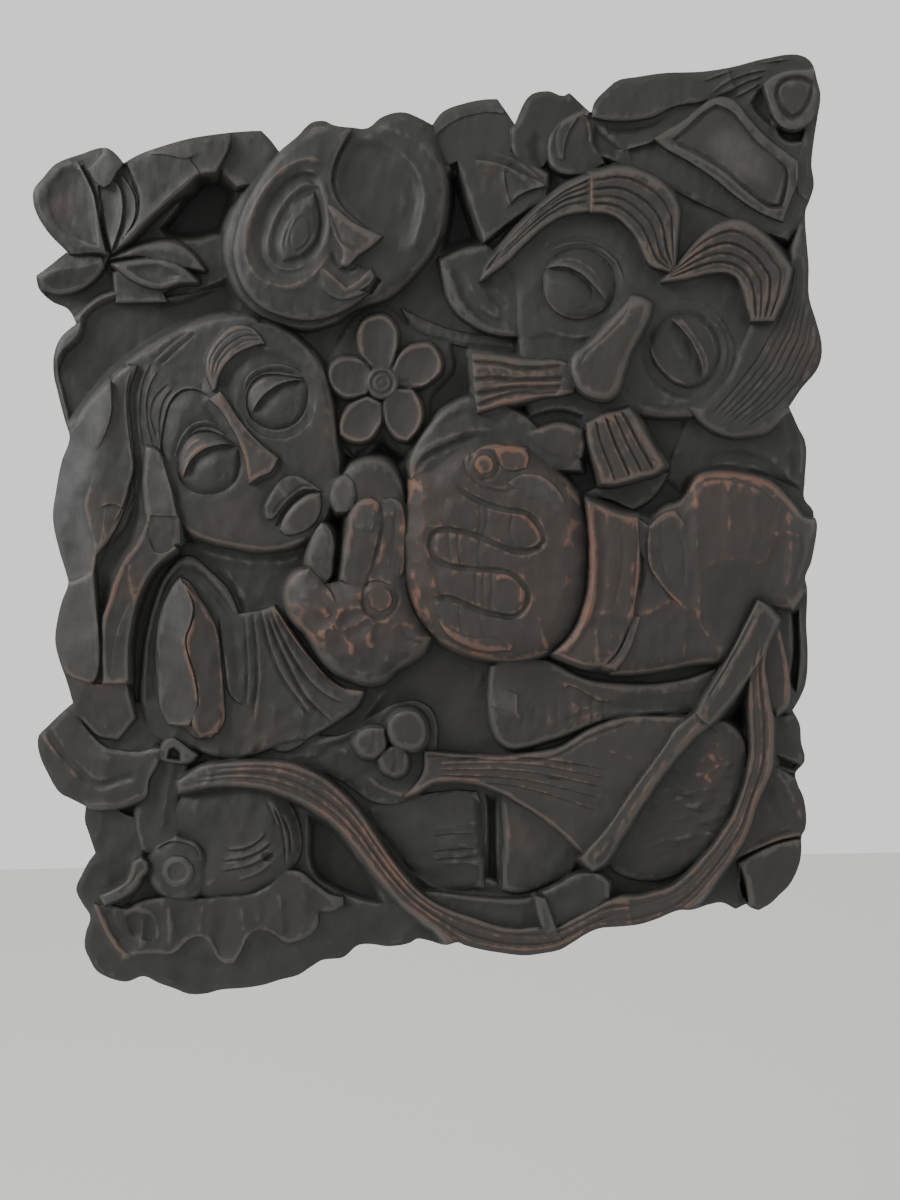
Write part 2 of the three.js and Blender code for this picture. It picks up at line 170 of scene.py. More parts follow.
class Carving:
    """Heights, and the tones that go with them, over a square grid."""

    def __init__(self, low, high, pitch):
        self.pitch = pitch
        self.low = np.array(low, float)
        size = np.ceil((np.array(high, float) - self.low) / pitch).astype(int) + 1
        self.columns, self.rows = int(size[0]), int(size[1])
        shape = (self.rows, self.columns)
        self.height = np.full(shape, GROUND_LEVEL, np.float32)
        self.warm = np.zeros(shape, np.float32)
        # The pale layer marks where a painted sheen lightens the colour, on facets that face the light.
        self.pale = np.zeros(shape, np.float32)

    def window(self, low, high, margin):
        first = np.floor((np.asarray(low) - margin - self.low) / self.pitch).astype(int)
        last = np.ceil((np.asarray(high) + margin - self.low) / self.pitch).astype(int) + 1
        c0, r0 = max(int(first[0]), 0), max(int(first[1]), 0)
        c1, r1 = min(int(last[0]), self.columns), min(int(last[1]), self.rows)
        return slice(r0, max(r1, r0)), slice(c0, max(c1, c0))

    def places(self, window):
        rows, cols = window
        u = self.low[0] + self.pitch * np.arange(cols.start, cols.stop)
        v = self.low[1] + self.pitch * np.arange(rows.start, rows.stop)
        return np.meshgrid(u, v)

    def trace(self, path, reach):
        """Distance to a path, the side of it and how far along it, in a window round it."""
        window = self.window(path.min(0), path.max(0), reach)
        rows, cols = window
        shape = (rows.stop - rows.start, cols.stop - cols.start)
        near = np.full(shape, reach, float)
        side = np.zeros(shape)
        along = np.zeros(shape)
        steps = np.diff(path, axis=0)
        lengths = np.hypot(steps[:, 0], steps[:, 1]) + 1e-9
        total = lengths.sum()
        travelled = 0.0
        for a, step, length in zip(path[:-1], steps, lengths):
            piece = self.window(np.minimum(a, a + step), np.maximum(a, a + step), reach)
            u, v = self.places(piece)
            local = (slice(piece[0].start - rows.start, piece[0].stop - rows.start),
                     slice(piece[1].start - cols.start, piece[1].stop - cols.start))
            x, y = step / length
            du, dv = u - a[0], v - a[1]
            t = np.clip(du * x + dv * y, 0.0, length)
            away = np.hypot(du - t * x, dv - t * y)
            nearer = away < near[local]
            near[local] = np.where(nearer, away, near[local])
            side[local] = np.where(nearer, np.sign(x * dv - y * du), side[local])
            along[local] = np.where(nearer, (travelled + t) / total, along[local])
            travelled += length
        return window, near, side, along

    def inside(self, loop, window):
        """True inside a closed loop, by counting its crossings along each row."""
        rows, cols = window
        crossings = np.zeros((rows.stop - rows.start, cols.stop - cols.start + 1), np.int32)
        u0 = self.low[0] + self.pitch * cols.start
        v0 = self.low[1] + self.pitch * rows.start
        for a, b in zip(loop, np.roll(loop, -1, axis=0)):
            low, high = (a, b) if a[1] < b[1] else (b, a)
            first = max(math.ceil((low[1] - v0) / self.pitch), 0)
            last = min(math.ceil((high[1] - v0) / self.pitch), crossings.shape[0])
            if last <= first:
                continue
            row = np.arange(first, last)
            u = low[0] + (v0 + row * self.pitch - low[1]) * (high[0] - low[0]) / (high[1] - low[1])
            column = np.clip(np.ceil((u - u0) / self.pitch).astype(int), 0, crossings.shape[1] - 1)
            np.add.at(crossings, (row, column), 1)
        return np.cumsum(crossings, axis=1)[:, :-1] % 2 == 1

    def area(self, outline, reach, whole=False):
        """Signed distance to a closed outline, negative inside, out to the reach or to its middle."""
        loop = curve(outline, True)
        half = float((loop.max(0) - loop.min(0)).min() / 2)
        reach = max(reach, half + 1.0) if whole else reach
        window, near, _, _ = self.trace(np.vstack([loop, loop[:1]]), reach)
        return window, np.where(self.inside(loop, window), -near, near), half

    def paint(self, window, shown, warm=None, pale=None):
        for layer, value in ((self.warm, warm), (self.pale, pale)):
            if value is not None:
                layer[window] += (value - layer[window]) * shown

    def form(self, outline, level, lean=(0, 0), roll=(1.6, 0.7), crown=0.0, slope=5.0, cuts=None,
             over=False, warm=None, pale=None):
        """Raises a form to a level inside an outline, with its sides sloping down outside it.

        lean is its fall to the right and upwards, roll the width and drop of its rim, flat if it
        is narrow and round if it is wide, crown how far its middle swells or, below zero, sinks,
        slope how steep its sides are and cuts its gouge marks (pitch, depth, stretch, turn, seed).
        With over it also replaces what was higher.
        """
        window, sd, half = self.area(outline, SKIRT, bool(crown))
        u, v = self.places(window)
        points = np.asarray(outline, float)
        middle = (points.max(0) + points.min(0)) / 2
        top = level + lean[0] * (u - middle[0]) + lean[1] * (v - middle[1])
        rim = 1.0 - np.clip(-sd / roll[0], 0.0, 1.0)
        top = top - roll[1] * rim ** (1.0 if roll[0] < CHAMFER else 2.0)
        if crown:
            top = top + crown * (1.0 - (1.0 - np.clip(-sd / half, 0.0, 1.0)) ** 2)
        if cuts:
            top = top + cuts[1] * (scallops(u, v, cuts[0], *cuts[2:]) - 0.5)
        height = self.height[window]
        away = np.maximum(sd, 0.0)
        side = np.where(sd < SKIRT, top - slope * away - 0.25 * away * away, -99.0)
        inside = np.maximum(top, height + slope * sd) if over else np.maximum(top, height)
        self.paint(window, np.clip(0.5 - sd, 0.0, 1.0) * (inside > height - over * 99.0), warm, pale)
        self.height[window] = np.where(sd > 0, np.maximum(height, side), inside)

    def sink(self, outline, depth=0.0, floor=None, soft=2.5, bowl=0.0, warm=None, pale=None):
        """Cuts a hollow by a depth or down to a floor, with soft walls and a rounded bottom."""
        window, sd, half = self.area(outline, soft + 1.0, bool(bowl))
        height = self.height[window]
        target = height - depth if floor is None else np.minimum(height, floor)
        if bowl:
            target = target - bowl * (1.0 - (1.0 - np.clip(-sd / half, 0.0, 1.0)) ** 2)
        mix = ramp(-sd, 0.0, soft)
        self.height[window] = height + (target - height) * mix
        self.paint(window, mix, warm, pale)

    def groove(self, path, width=1.6, depth=1.2, taper=0.15, sharp=True, closed=False, warm=None):
        """Draws a line: a channel along a path that runs out towards its ends."""
        way = curve(path, closed)
        if closed:
            way = np.vstack([way, way[:1]])
        window, near, _, along = self.trace(way, abs(width))
        t = np.clip(near / width, 0.0, 1.0)
        profile = 1.0 - t if sharp else (1.0 - t * t) ** 1.5
        if taper and not closed:
            profile = profile * ramp(np.minimum(along, 1.0 - along), -0.02, taper)
        self.height[window] -= depth * profile
        self.paint(window, profile, warm)

    def crest(self, path, width=4.0, rise=1.0, taper=0.15, closed=False, warm=None):
        """Leaves a ridge between two cuts."""
        self.groove(path, width, -rise, taper, True, closed, warm)

    def lap(self, path, rise=1.5, width=6.0, drop=0.8, side=1, fall=None, taper=0.12, warm=None):
        """Lays one surface over the next along a path.

        It stands up by rise on one side, running out over width, and drops on the other side,
        running out over fall.
        """
        fall = fall or 0.5 * width
        window, near, which, along = self.trace(curve(path, False), max(width, fall))
        fade = ramp(np.minimum(along, 1.0 - along), -0.02, taper) if taper else 1.0
        high = rise * np.clip(1.0 - near / width, 0.0, 1.0)
        low = -drop * np.clip(1.0 - near / fall, 0.0, 1.0)
        blend = ramp(side * which * near, -0.4, 0.4)
        self.height[window] += (low + (high - low) * blend) * fade
        self.paint(window, fade * blend * (near < 1.2), warm)

    def scoop(self, centre, across, up, depth, turn=0.0, power=1.0):
        """Cuts a round hollow, or leaves a swelling where the depth is below zero."""
        size = max(across, up)
        at = np.array(centre, float)
        window = self.window(at - size, at + size, 1.0)
        u, v = self.places(window)
        a = math.radians(turn)
        x = ((u - at[0]) * math.cos(a) + (v - at[1]) * math.sin(a)) / across
        y = (-(u - at[0]) * math.sin(a) + (v - at[1]) * math.cos(a)) / up
        self.height[window] -= depth * np.clip(1.0 - (x * x + y * y), 0.0, 1.0) ** power

    def marks(self, outline, pitch=9.0, depth=0.6, stretch=1.0, turn=0.0, seed=1, soft=3.0):
        """Cuts gouge marks over what is already carved."""
        window, sd, _ = self.area(outline, soft + 1.0)
        u, v = self.places(window)
        cut = scallops(u, v, pitch, stretch, turn, seed) - 0.5
        self.height[window] += depth * cut * ramp(-sd, 0.0, soft)

    def tint(self, outline, warm=None, pale=None, soft=5.0):
        """Sets the tone of an area without cutting it: warm for red-brown wear and pale for a painted sheen."""
        window, sd, _ = self.area(outline, soft + 1.0)
        self.paint(window, ramp(-sd, -soft / 2, soft / 2), warm, pale)


SILHOUETTE = [
    (-190, 149), (-200, 160), (-206, 172), (-206, 181), (-200, 188), (-194, 194), (-180, 199), (-166, 202),
    (-161, 198.5), (-157.5, 194), (-150, 198), (-138, 202), (-122, 206), (-107, 208), (-95, 209),
    (-84, 209.3), (-79, 204), (-75, 198.5), (-65, 206), (-57, 213), (-50, 213.5), (-46, 211.5), (-36, 210),
    (-28, 209.5), (-20, 215), (-9, 217.3), (0, 214), (6.5, 210.5), (12, 217), (23, 221), (35, 223),
    (41, 223), (46, 216), (50, 210), (56, 222), (59, 225), (68, 226.5), (76, 224), (79, 225.5), (86, 219),
    (90.5, 215), (92, 220), (100, 228), (104, 231), (116, 233), (128, 234.5), (150, 235), (165, 237),
    (182, 240.8), (200, 242.3), (206, 239), (210, 228), (211.5, 222), (210, 210), (208.5, 200),
    (207.3, 186), (208.7, 176), (206, 167), (204.5, 163), (205, 150), (206.5, 135), (207, 118), (211, 105),
    (214, 94), (214.2, 87), (212, 80), (203, 69), (197, 60), (202, 49), (206, 41), (206, 20), (206, 10),
    (210, 5), (213, -3), (213, -8), (212, -15), (210, -25), (207, -33), (208, -38), (208, -60), (209, -75),
    (208, -92), (205, -100), (201, -107), (205, -115), (206, -125), (208, -136), (203, -143), (204, -148),
    (208, -158), (209, -175), (207, -179), (207, -187), (206, -195), (200, -208), (195, -213), (190, -218),
    (183, -222), (178, -220), (176, -218), (170, -221), (162, -217), (155, -218), (145, -221), (138, -221),
    (125, -226), (115, -229), (105, -230), (92, -231), (85, -234), (77, -239), (70, -243), (60, -245),
    (50, -246), (35, -244), (25, -242), (15, -239), (12, -237.5), (5, -239), (-5, -236), (-12, -235),
    (-15, -237), (-28, -239), (-38, -237.5), (-45, -238), (-54, -245), (-66, -246.5), (-72, -250),
    (-80, -255), (-90, -257.5), (-100, -260.5), (-110, -262), (-125, -263), (-133, -265), (-143, -265),
    (-150, -262), (-160, -258), (-168, -254), (-178, -257), (-184, -256), (-191, -253), (-195, -250),
    (-199, -242), (-201, -236), (-200, -228), (-197, -218), (-201, -210), (-204, -202), (-200, -193),
    (-196, -186), (-192, -181), (-195, -170), (-197, -162), (-196, -154), (-203, -150), (-210, -146),
    (-217, -133), (-220, -125), (-221, -117), (-220, -113), (-216, -109), (-205, -99), (-200, -95),
    (-203, -82), (-206, -72), (-208, -60), (-206, -48), (-203, -38), (-199, -28), (-200, -22), (-203, -10),
    (-205.5, 8), (-203, 22), (-199, 38), (-194, 51), (-196, 60), (-198.8, 74), (-200.7, 85), (-200, 95),
    (-196, 104), (-187, 111.5), (-191, 119), (-199, 123), (-206, 130), (-207.3, 136.7), (-201, 141),
]


def carve_ground(wood):
    """The cleared ground, rough from the gouge, and its deepest hollows."""
    wood.marks([(-240, -290), (240, -290), (240, 270), (-240, 270)], 13, 0.8, 1.5, 35, 3)
    # The block behind the hair: its face falls away from a lit bevel at the left.
    back = [(-167, 126), (-184, 115.5), (-186, 107), (-196, 97), (-201, 87), (-199, 74), (-195, 56),
            (-184, 66), (-170, 82), (-150, 97), (-120, 111), (-100, 113), (-98, 122), (-105, 134), (-140, 123)]
    wood.form([(-167, 127), (-190, 112), (-206, 100), (-206, 40), (-180, 40), (-90, 104), (-100, 130),
               (-140, 124)], 31, lean=(-0.1, 0), roll=(1, 0.4), slope=2.4)
    wood.form(back, 24, lean=(-0.12, 0.02), roll=(0.5, 0), slope=1.6, over=True)
    # The light on the bevel is a painted highlight.
    wood.tint([(-190, 112), (-167, 127), (-182, 116), (-186, 107), (-197, 96), (-202, 90)], pale=0.8, soft=2)
    hollows = [
        ([(-118, 187), (-108, 187), (-98, 180), (-101, 168), (-106, 156), (-124, 153), (-138, 156),
          (-141, 160), (-131, 171)], 8),
        ([(15, 188), (21, 183), (26, 170), (32.5, 152), (31, 149), (9, 144), (12.5, 172)], 10),
        ([(-56, 12), (-42, 8), (-45, -6), (-51, -3)], 10),
        ([(176, -93), (174, -120), (163, -111)], 8),
        ([(-72, -160), (-60, -164), (-32, -205), (-28, -216), (-54, -208), (-70, -195)], 13),
        ([(28, -150), (37, -152), (37, -205), (27, -200)], 13),
    ]
    for outline, floor in hollows:
        wood.sink(outline, floor=floor, soft=5)


def carve_blossom(wood):
    """Top left: two broad petals, two small ones and the leaves under them."""
    wood.form([(-82, 214), (-104, 213), (-108, 200), (-106, 190), (-98, 181), (-86, 184), (-78, 196), (-72, 200)],
              36, lean=(0.02, -0.1), roll=(1.2, 0.5), slope=3.2, cuts=(13, 0.6))
    # The base under the petals and the stem facet at its left.
    wood.form([(-166, 138), (-165, 122), (-138, 122), (-139.5, 126.5), (-130, 132), (-150, 140)], 33,
              lean=(0, 0.1), roll=(1, 0.5), slope=4.8)
    wood.groove([(-165, 131), (-152, 127), (-141, 125)], 2.2, 0.8)
    # Lower left petal in two facets that meet in a ridge.
    lower = [(-168, 146), (-180, 147.5), (-190, 148.5), (-200, 142.5), (-210, 137), (-208, 133), (-198, 128.3),
             (-190, 127.7), (-181, 131), (-173, 137.5)]
    wood.form(lower, 35, roll=(1.4, 0.8), slope=4.2)
    wood.crest([(-208, 136), (-196, 139.5), (-182, 141), (-170, 144)], 9, 3.6, 0.05)
    # The small petals on the right: one upright behind, one lens in front.
    wood.form([(-167, 145), (-155, 150.3), (-148, 152), (-140, 153), (-133, 152.3), (-127, 149.5), (-122, 145),
               (-117, 138), (-128, 140), (-150, 146)], 36.5, lean=(0, 0.06), roll=(1.2, 0.6), slope=3.8)
    wood.crest([(-164, 145), (-150, 149), (-140, 149.5), (-131, 147), (-123, 141.5)], 3, 0.9)
    wood.form([(-166, 142), (-157, 143.5), (-150, 144.3), (-140, 144), (-130, 140.6), (-124.7, 136), (-121, 132),
               (-131, 131.6), (-140, 129), (-149, 130.4), (-157, 134.5)], 38.5, roll=(1.2, 0.7), slope=4.2)
    wood.sink([(-160, 140), (-148, 142.6), (-138, 141.5), (-128, 135), (-140, 131), (-150, 132.5)], 0.4, soft=2,
              bowl=1.6)
    wood.crest([(-164, 141.5), (-154, 136.5), (-147, 132)], 2.4, 0.9, 0.1)
    # Broad left petal, dished inside its rim.
    wood.form([(-168, 147), (-174, 148.5), (-184, 148), (-196, 149), (-206, 158), (-212, 176), (-206, 190),
               (-190, 202), (-166, 207), (-157, 200), (-160, 188), (-168, 182), (-171.5, 165), (-169, 150)], 41,
              lean=(0.05, 0), roll=(2.6, 1.6), slope=4.2)
    wood.sink([(-172.5, 151), (-183, 154), (-194, 160.5), (-199, 170), (-198.5, 183), (-190, 193), (-180, 192),
               (-175.5, 181), (-172.5, 170)], 0.8, soft=2.5, bowl=1.8)
    wood.crest([(-192, 164), (-182, 154.5), (-172, 149.8)], 2.2, 0.7, 0.1)
    wood.tint(oval((-191, 173), 9, 7, 30), warm=0.8, soft=6)
    # Folds in the middle, round a dark valley.
    wood.form([(-166, 149), (-170, 160), (-171, 172), (-172, 183), (-166, 183), (-160, 190), (-152, 196),
               (-146, 188), (-146, 172), (-154, 158)], 38.5, roll=(1, 0.4), slope=4.8, over=True)
    wood.lap([(-180.5, 193), (-176.5, 185), (-174, 178), (-172.4, 168), (-171, 158), (-169, 148)], 1.6, 4.5,
             3.6, -1, 3.5, 0.04)
    wood.lap([(-165.5, 188), (-160.5, 182.5), (-158.8, 174), (-160, 164.5), (-163, 156), (-166.5, 148)], 2.4, 4,
             1.2, -1, 3, 0.04)
    wood.lap([(-159, 189), (-153.5, 180), (-152, 173), (-153.3, 165), (-158, 157.5), (-164, 150)], 1.8, 3.4,
             1.0, -1, 2.6, 0.04)
    wood.lap([(-154.5, 186), (-150.8, 176), (-151.8, 167), (-157, 158.5)], 1.2, 2.6, 0.8, -1, 2, 0.08)
    wood.form([(-176, 191), (-170, 197), (-165, 203), (-160, 199), (-157, 194), (-161.5, 189.5), (-165.5, 183.5),
               (-168.5, 182), (-172.5, 184.5)], 44.5, lean=(-0.02, 0.16), roll=(0.6, 0.3), slope=4.8, pale=1.0)
    wood.crest([(-192, 196), (-182, 193.5), (-176, 190)], 3, 0.8, 0.1)
    # Broad right petal: a bevel along the top with a painted highlight, and a thin lower edge over the hollow.
    wood.form([(-165.5, 148.5), (-156, 155), (-144, 166.5), (-133, 175.4), (-124.7, 181.6), (-118, 187.5),
               (-109, 188.5), (-105, 195), (-101.5, 203), (-104, 212), (-124, 211), (-142, 205), (-157.5, 197),
               (-153.5, 188), (-149.5, 176), (-151.5, 166), (-158, 157)], 41.5, lean=(0.03, 0.03),
              roll=(1, 0.5), slope=2.9, cuts=(19, 0.5, 1.2, 40, 8))
    wood.form([(-157.5, 197), (-147.9, 198), (-135.6, 198), (-124.7, 196), (-113.8, 198.6), (-101, 203.5),
               (-103, 213), (-124, 212), (-142, 206)], 42.4, lean=(0, -0.12), roll=(1.2, 0.3), slope=4.8, pale=0.7,
              warm=0.3)
    wood.crest([(-110, 190), (-118, 188.5), (-126, 183.5), (-137, 174.5), (-149, 164), (-159, 155)], 3.4, 1.2,
               0.04)
    wood.lap([(-123, 196), (-119, 191), (-117, 187)], 0.3, 3, 1.2, -1, 8, 0.1)


def carve_moon(wood):
    """The round face in profile: a rim all round, ringed eye, short nose and lips."""
    disc = [(-76, 196), (-65, 208), (-57, 217), (-46, 216), (-28, 213), (-9, 221), (6, 214), (10, 200),
            (13, 186), (12, 165), (9, 154), (2, 142), (-8, 131), (-20, 121.5), (-36, 117), (-48, 110),
            (-62, 106.5), (-75, 109), (-90, 115.5), (-99, 126), (-104, 138), (-106, 148), (-103, 163),
            (-92, 180)]
    wood.form(disc, 44, roll=(9, 6), crown=2, cuts=(16, 0.52, 1.3, 80, 5))
    # The dark side on the right sinks to a lens inside the rim.
    wood.crest([(-24, 212), (-10, 206.5), (0, 201), (6, 195), (10, 187), (12, 176), (11, 165), (8, 152),
                (1, 141), (-8, 133)], 6, 2.2, 0.05)
    wood.sink([(-33, 205), (-20, 204), (-8, 196), (1, 184), (2, 168), (-4, 150), (-14, 144), (-24, 154),
               (-36, 162), (-45, 172), (-46, 188), (-41, 200)], 3.2, soft=7, bowl=1.5)
    wood.crest([(-12, 198), (-4, 190), (0.5, 180), (0.5, 168), (-3, 155), (-7, 146)], 3.2, 1.1)
    wood.crest([(-6, 186), (-9, 175), (-10, 163)], 2.2, 0.7)
    # The face: the step of its profile runs from the crown to the tip of the nose.
    face = [(-76, 195), (-66, 205), (-57, 210), (-45, 210), (-36, 209), (-40, 203), (-44, 196), (-47, 189),
            (-48, 182), (-46.5, 176), (-43, 170), (-38, 164), (-31, 158.5), (-22, 154), (-27, 149),
            (-33, 144.5), (-37, 140), (-30, 137), (-26, 133), (-27, 127), (-33, 122), (-45, 115),
            (-60, 111), (-75, 113), (-88, 119), (-97, 130), (-101, 145), (-98, 162), (-89, 179)]
    wood.form(face, 48, roll=(4, 2), crown=2, cuts=(15, 0.38, 1.6, 75, 9))
    wood.lap([(-36, 209), (-40, 203), (-44, 196), (-46.5, 189), (-47.5, 182), (-46, 176), (-42.5, 170),
              (-37, 164.5), (-30, 159), (-22, 155)], 1.4, 5, 2.2, side=-1)
    # Eye: rings of shallow steps round an almond.
    wood.sink([(-55, 187), (-63, 191), (-73, 187), (-82, 178), (-89, 166), (-92, 153), (-89, 141),
               (-82, 134), (-70, 131.5), (-60, 136.5), (-53, 145), (-49, 156), (-49, 172)], 3.6, soft=5)
    wood.crest([(-50, 192), (-60, 194.5), (-70, 191.5), (-79, 184.5), (-86, 176), (-91, 166), (-94.5, 154),
                (-94, 143), (-89, 134.5), (-80, 129.5), (-70, 129), (-61, 133), (-54, 140), (-50, 147)],
               3, 1.5, 0.05, warm=0.6)
    wood.crest([(-54, 187.5), (-62, 188), (-71, 184.5), (-79, 177), (-84.5, 168), (-88, 156), (-87, 145)],
               2, 0.9, 0.05)
    wood.crest([(-54, 180.5), (-61, 181.5), (-69, 177), (-77, 167), (-82, 155), (-82.5, 145), (-79, 139.5),
                (-70, 137.5), (-60, 142), (-54, 150), (-51, 160), (-51, 170), (-54, 180)], 3.2, 2.2, 0,
               warm=0.25)
    wood.form([(-57, 177), (-63, 175), (-70, 167), (-76, 156), (-78, 146), (-75, 141.5), (-67, 143),
               (-59, 149), (-55, 157), (-54.5, 167)], 49, roll=(4, 2.4), crown=1.5)
    wood.groove([(-61, 175), (-67, 167), (-72, 157), (-75, 145)], 1.4, 0.9)
    wood.groove(oval((-65, 156), 5, 9, -22), 1.2, 0.6, closed=True)
    wood.groove([(-58, 171), (-57, 160), (-62, 151), (-70, 145)], 1.2, 0.5)
    # Nose and lips.
    wood.form([(-50, 171), (-45, 168), (-38, 162), (-30, 157.5), (-22, 153.5), (-28, 148.5), (-35, 144),
               (-41, 138.5), (-45, 138), (-43, 145), (-47, 155)], 52, lean=(0.1, 0), roll=(1.6, 0.8), warm=0.35)
    wood.groove([(-50, 170), (-46, 160), (-43, 152), (-39, 149), (-33, 147)], 1.6, 1.3)
    wood.groove([(-49, 147), (-46, 140), (-40, 136.5), (-35, 139)], 2, 2)
    wood.form([(-56, 140), (-51, 137), (-46, 132.5), (-41, 128), (-36, 130.5), (-28, 137), (-25.5, 131.5),
               (-29, 126.5), (-36, 123), (-46, 121.5), (-54, 127)], 50.5, roll=(1.2, 0.7), warm=0.3)
    wood.crest([(-55, 139.5), (-50, 134.5), (-45.5, 130.5), (-41.5, 127), (-37, 129), (-32, 132.5),
                (-28, 136)], 2.4, 1.2, warm=0.6)
    wood.sink([(-35, 126), (-29, 129.5), (-26, 134), (-22, 131), (-28, 123)], 4, soft=1.5)
    for offset in (0, 9, 18, 27):
        wood.groove([(-88 + offset, 126 - offset * 0.25), (-89 + offset * 1.05, 113 - offset * 0.1)], 4, 0.5,
                    0.3, False)


def carve_top_leaves(wood):
    """Between the moon and the cap: folded leaves."""
    wood.form([(6, 220), (23, 228), (43, 230), (50, 213), (48.5, 205), (47.5, 196), (67, 184), (66, 172), (46, 160),
               (33, 150), (26, 170), (22, 183), (19.5, 192), (14, 190), (5, 205)], 37, lean=(-0.02, -0.02),
              roll=(1.4, 0.7), slope=3.8, cuts=(18, 0.5, 1.4, 70, 6))
    wood.form([(6, 220), (23, 228), (43, 230), (49, 213), (42, 216), (24, 214.5), (14, 210), (8, 205)], 37.6,
              lean=(0, -0.16), roll=(1, 0.4), slope=4.8, pale=0.3)
    wood.form([(5, 214), (8, 206), (13.5, 209), (13, 196), (15, 188), (12.5, 184), (7, 192), (2, 206)], 35,
              lean=(0.2, 0), roll=(1, 0.5), slope=3.2, pale=0.2)
    wood.lap([(20, 192), (22.5, 183), (25.5, 172), (29, 162), (32.5, 152)], 0.8, 3, 0.5, -1, 2, 0.04)
    # The inner leaf, folded over, with strips beside it.
    wood.lap([(29, 192.5), (36, 191.8), (43, 190), (50, 187), (58.7, 182.6), (66.5, 179)], 1.6, 7, 1.2, -1, 3,
             0.04, warm=0.25)
    wood.lap([(40, 196), (47, 194), (54, 190), (61, 184.5), (66.5, 180.5)], 1.0, 3, 0.8, -1, 3, 0.1)
    wood.groove([(46, 190), (54, 184.5), (62, 179)], 1.6, 1.0, 0.1)
    wood.groove([(45, 187), (52, 181), (58, 177)], 1.6, 1.0, 0.1)
    wood.lap([(44.3, 186), (45, 178), (47.5, 169.5)], 0.9, 3, 0.9, -1, 3, 0.04, warm=0.3)
    wood.lap([(47.5, 169.5), (50.5, 172.5), (54, 174.5), (61, 177), (66, 177.5)], 1.2, 5, 1.5, 1, 6, 0.04)
    wood.crest([(35, 188), (34.6, 181), (34.4, 174)], 2.6, 0.8, 0.1, warm=0.4)
    wood.tint(oval((36, 186.5), 5, 3, 20), warm=1.0, soft=3)
    # The tall leaf behind, its right side falling into a valley.
    wood.form([(48.5, 205), (50, 214), (56, 226), (60, 230), (70, 231), (79, 230), (88, 222), (92, 214), (80, 205),
               (68, 200), (66, 190), (60, 186), (50, 194)], 34, lean=(-0.26, 0.05), roll=(1.4, 0.7), slope=3.8,
              cuts=(12, 0.5, 1.3, 80, 12))
    wood.sink([(54, 200), (60, 208), (66.5, 204), (67, 196), (67.5, 188), (63, 185), (57, 190)], 3.5, soft=6)
    # The small leaf in front of it.
    wood.form([(68.5, 190), (67.5, 198), (68.3, 203), (72, 208), (75, 211), (86, 215.5), (91, 213), (91.5, 205),
               (95, 196), (97, 189), (84, 184), (74, 185)], 37.5, lean=(0.0, 0), roll=(1.2, 0.6), slope=4.2)
    wood.lap([(75.5, 211), (72.5, 205), (72, 198), (73.5, 191)], 1.0, 3, 0.8, 1, 2, 0.06, warm=0.4)
    wood.lap([(84, 213.5), (79, 206), (76.5, 199), (76, 191)], 1.2, 5, 0.8, -1, 2.6, 0.06)
    wood.lap([(87, 214), (89, 207), (89.5, 200)], 0.8, 3, 0.8, 1, 3, 0.1)
    wood.tint([(80, 212), (88, 217), (91, 212), (88, 204)], warm=0.5)


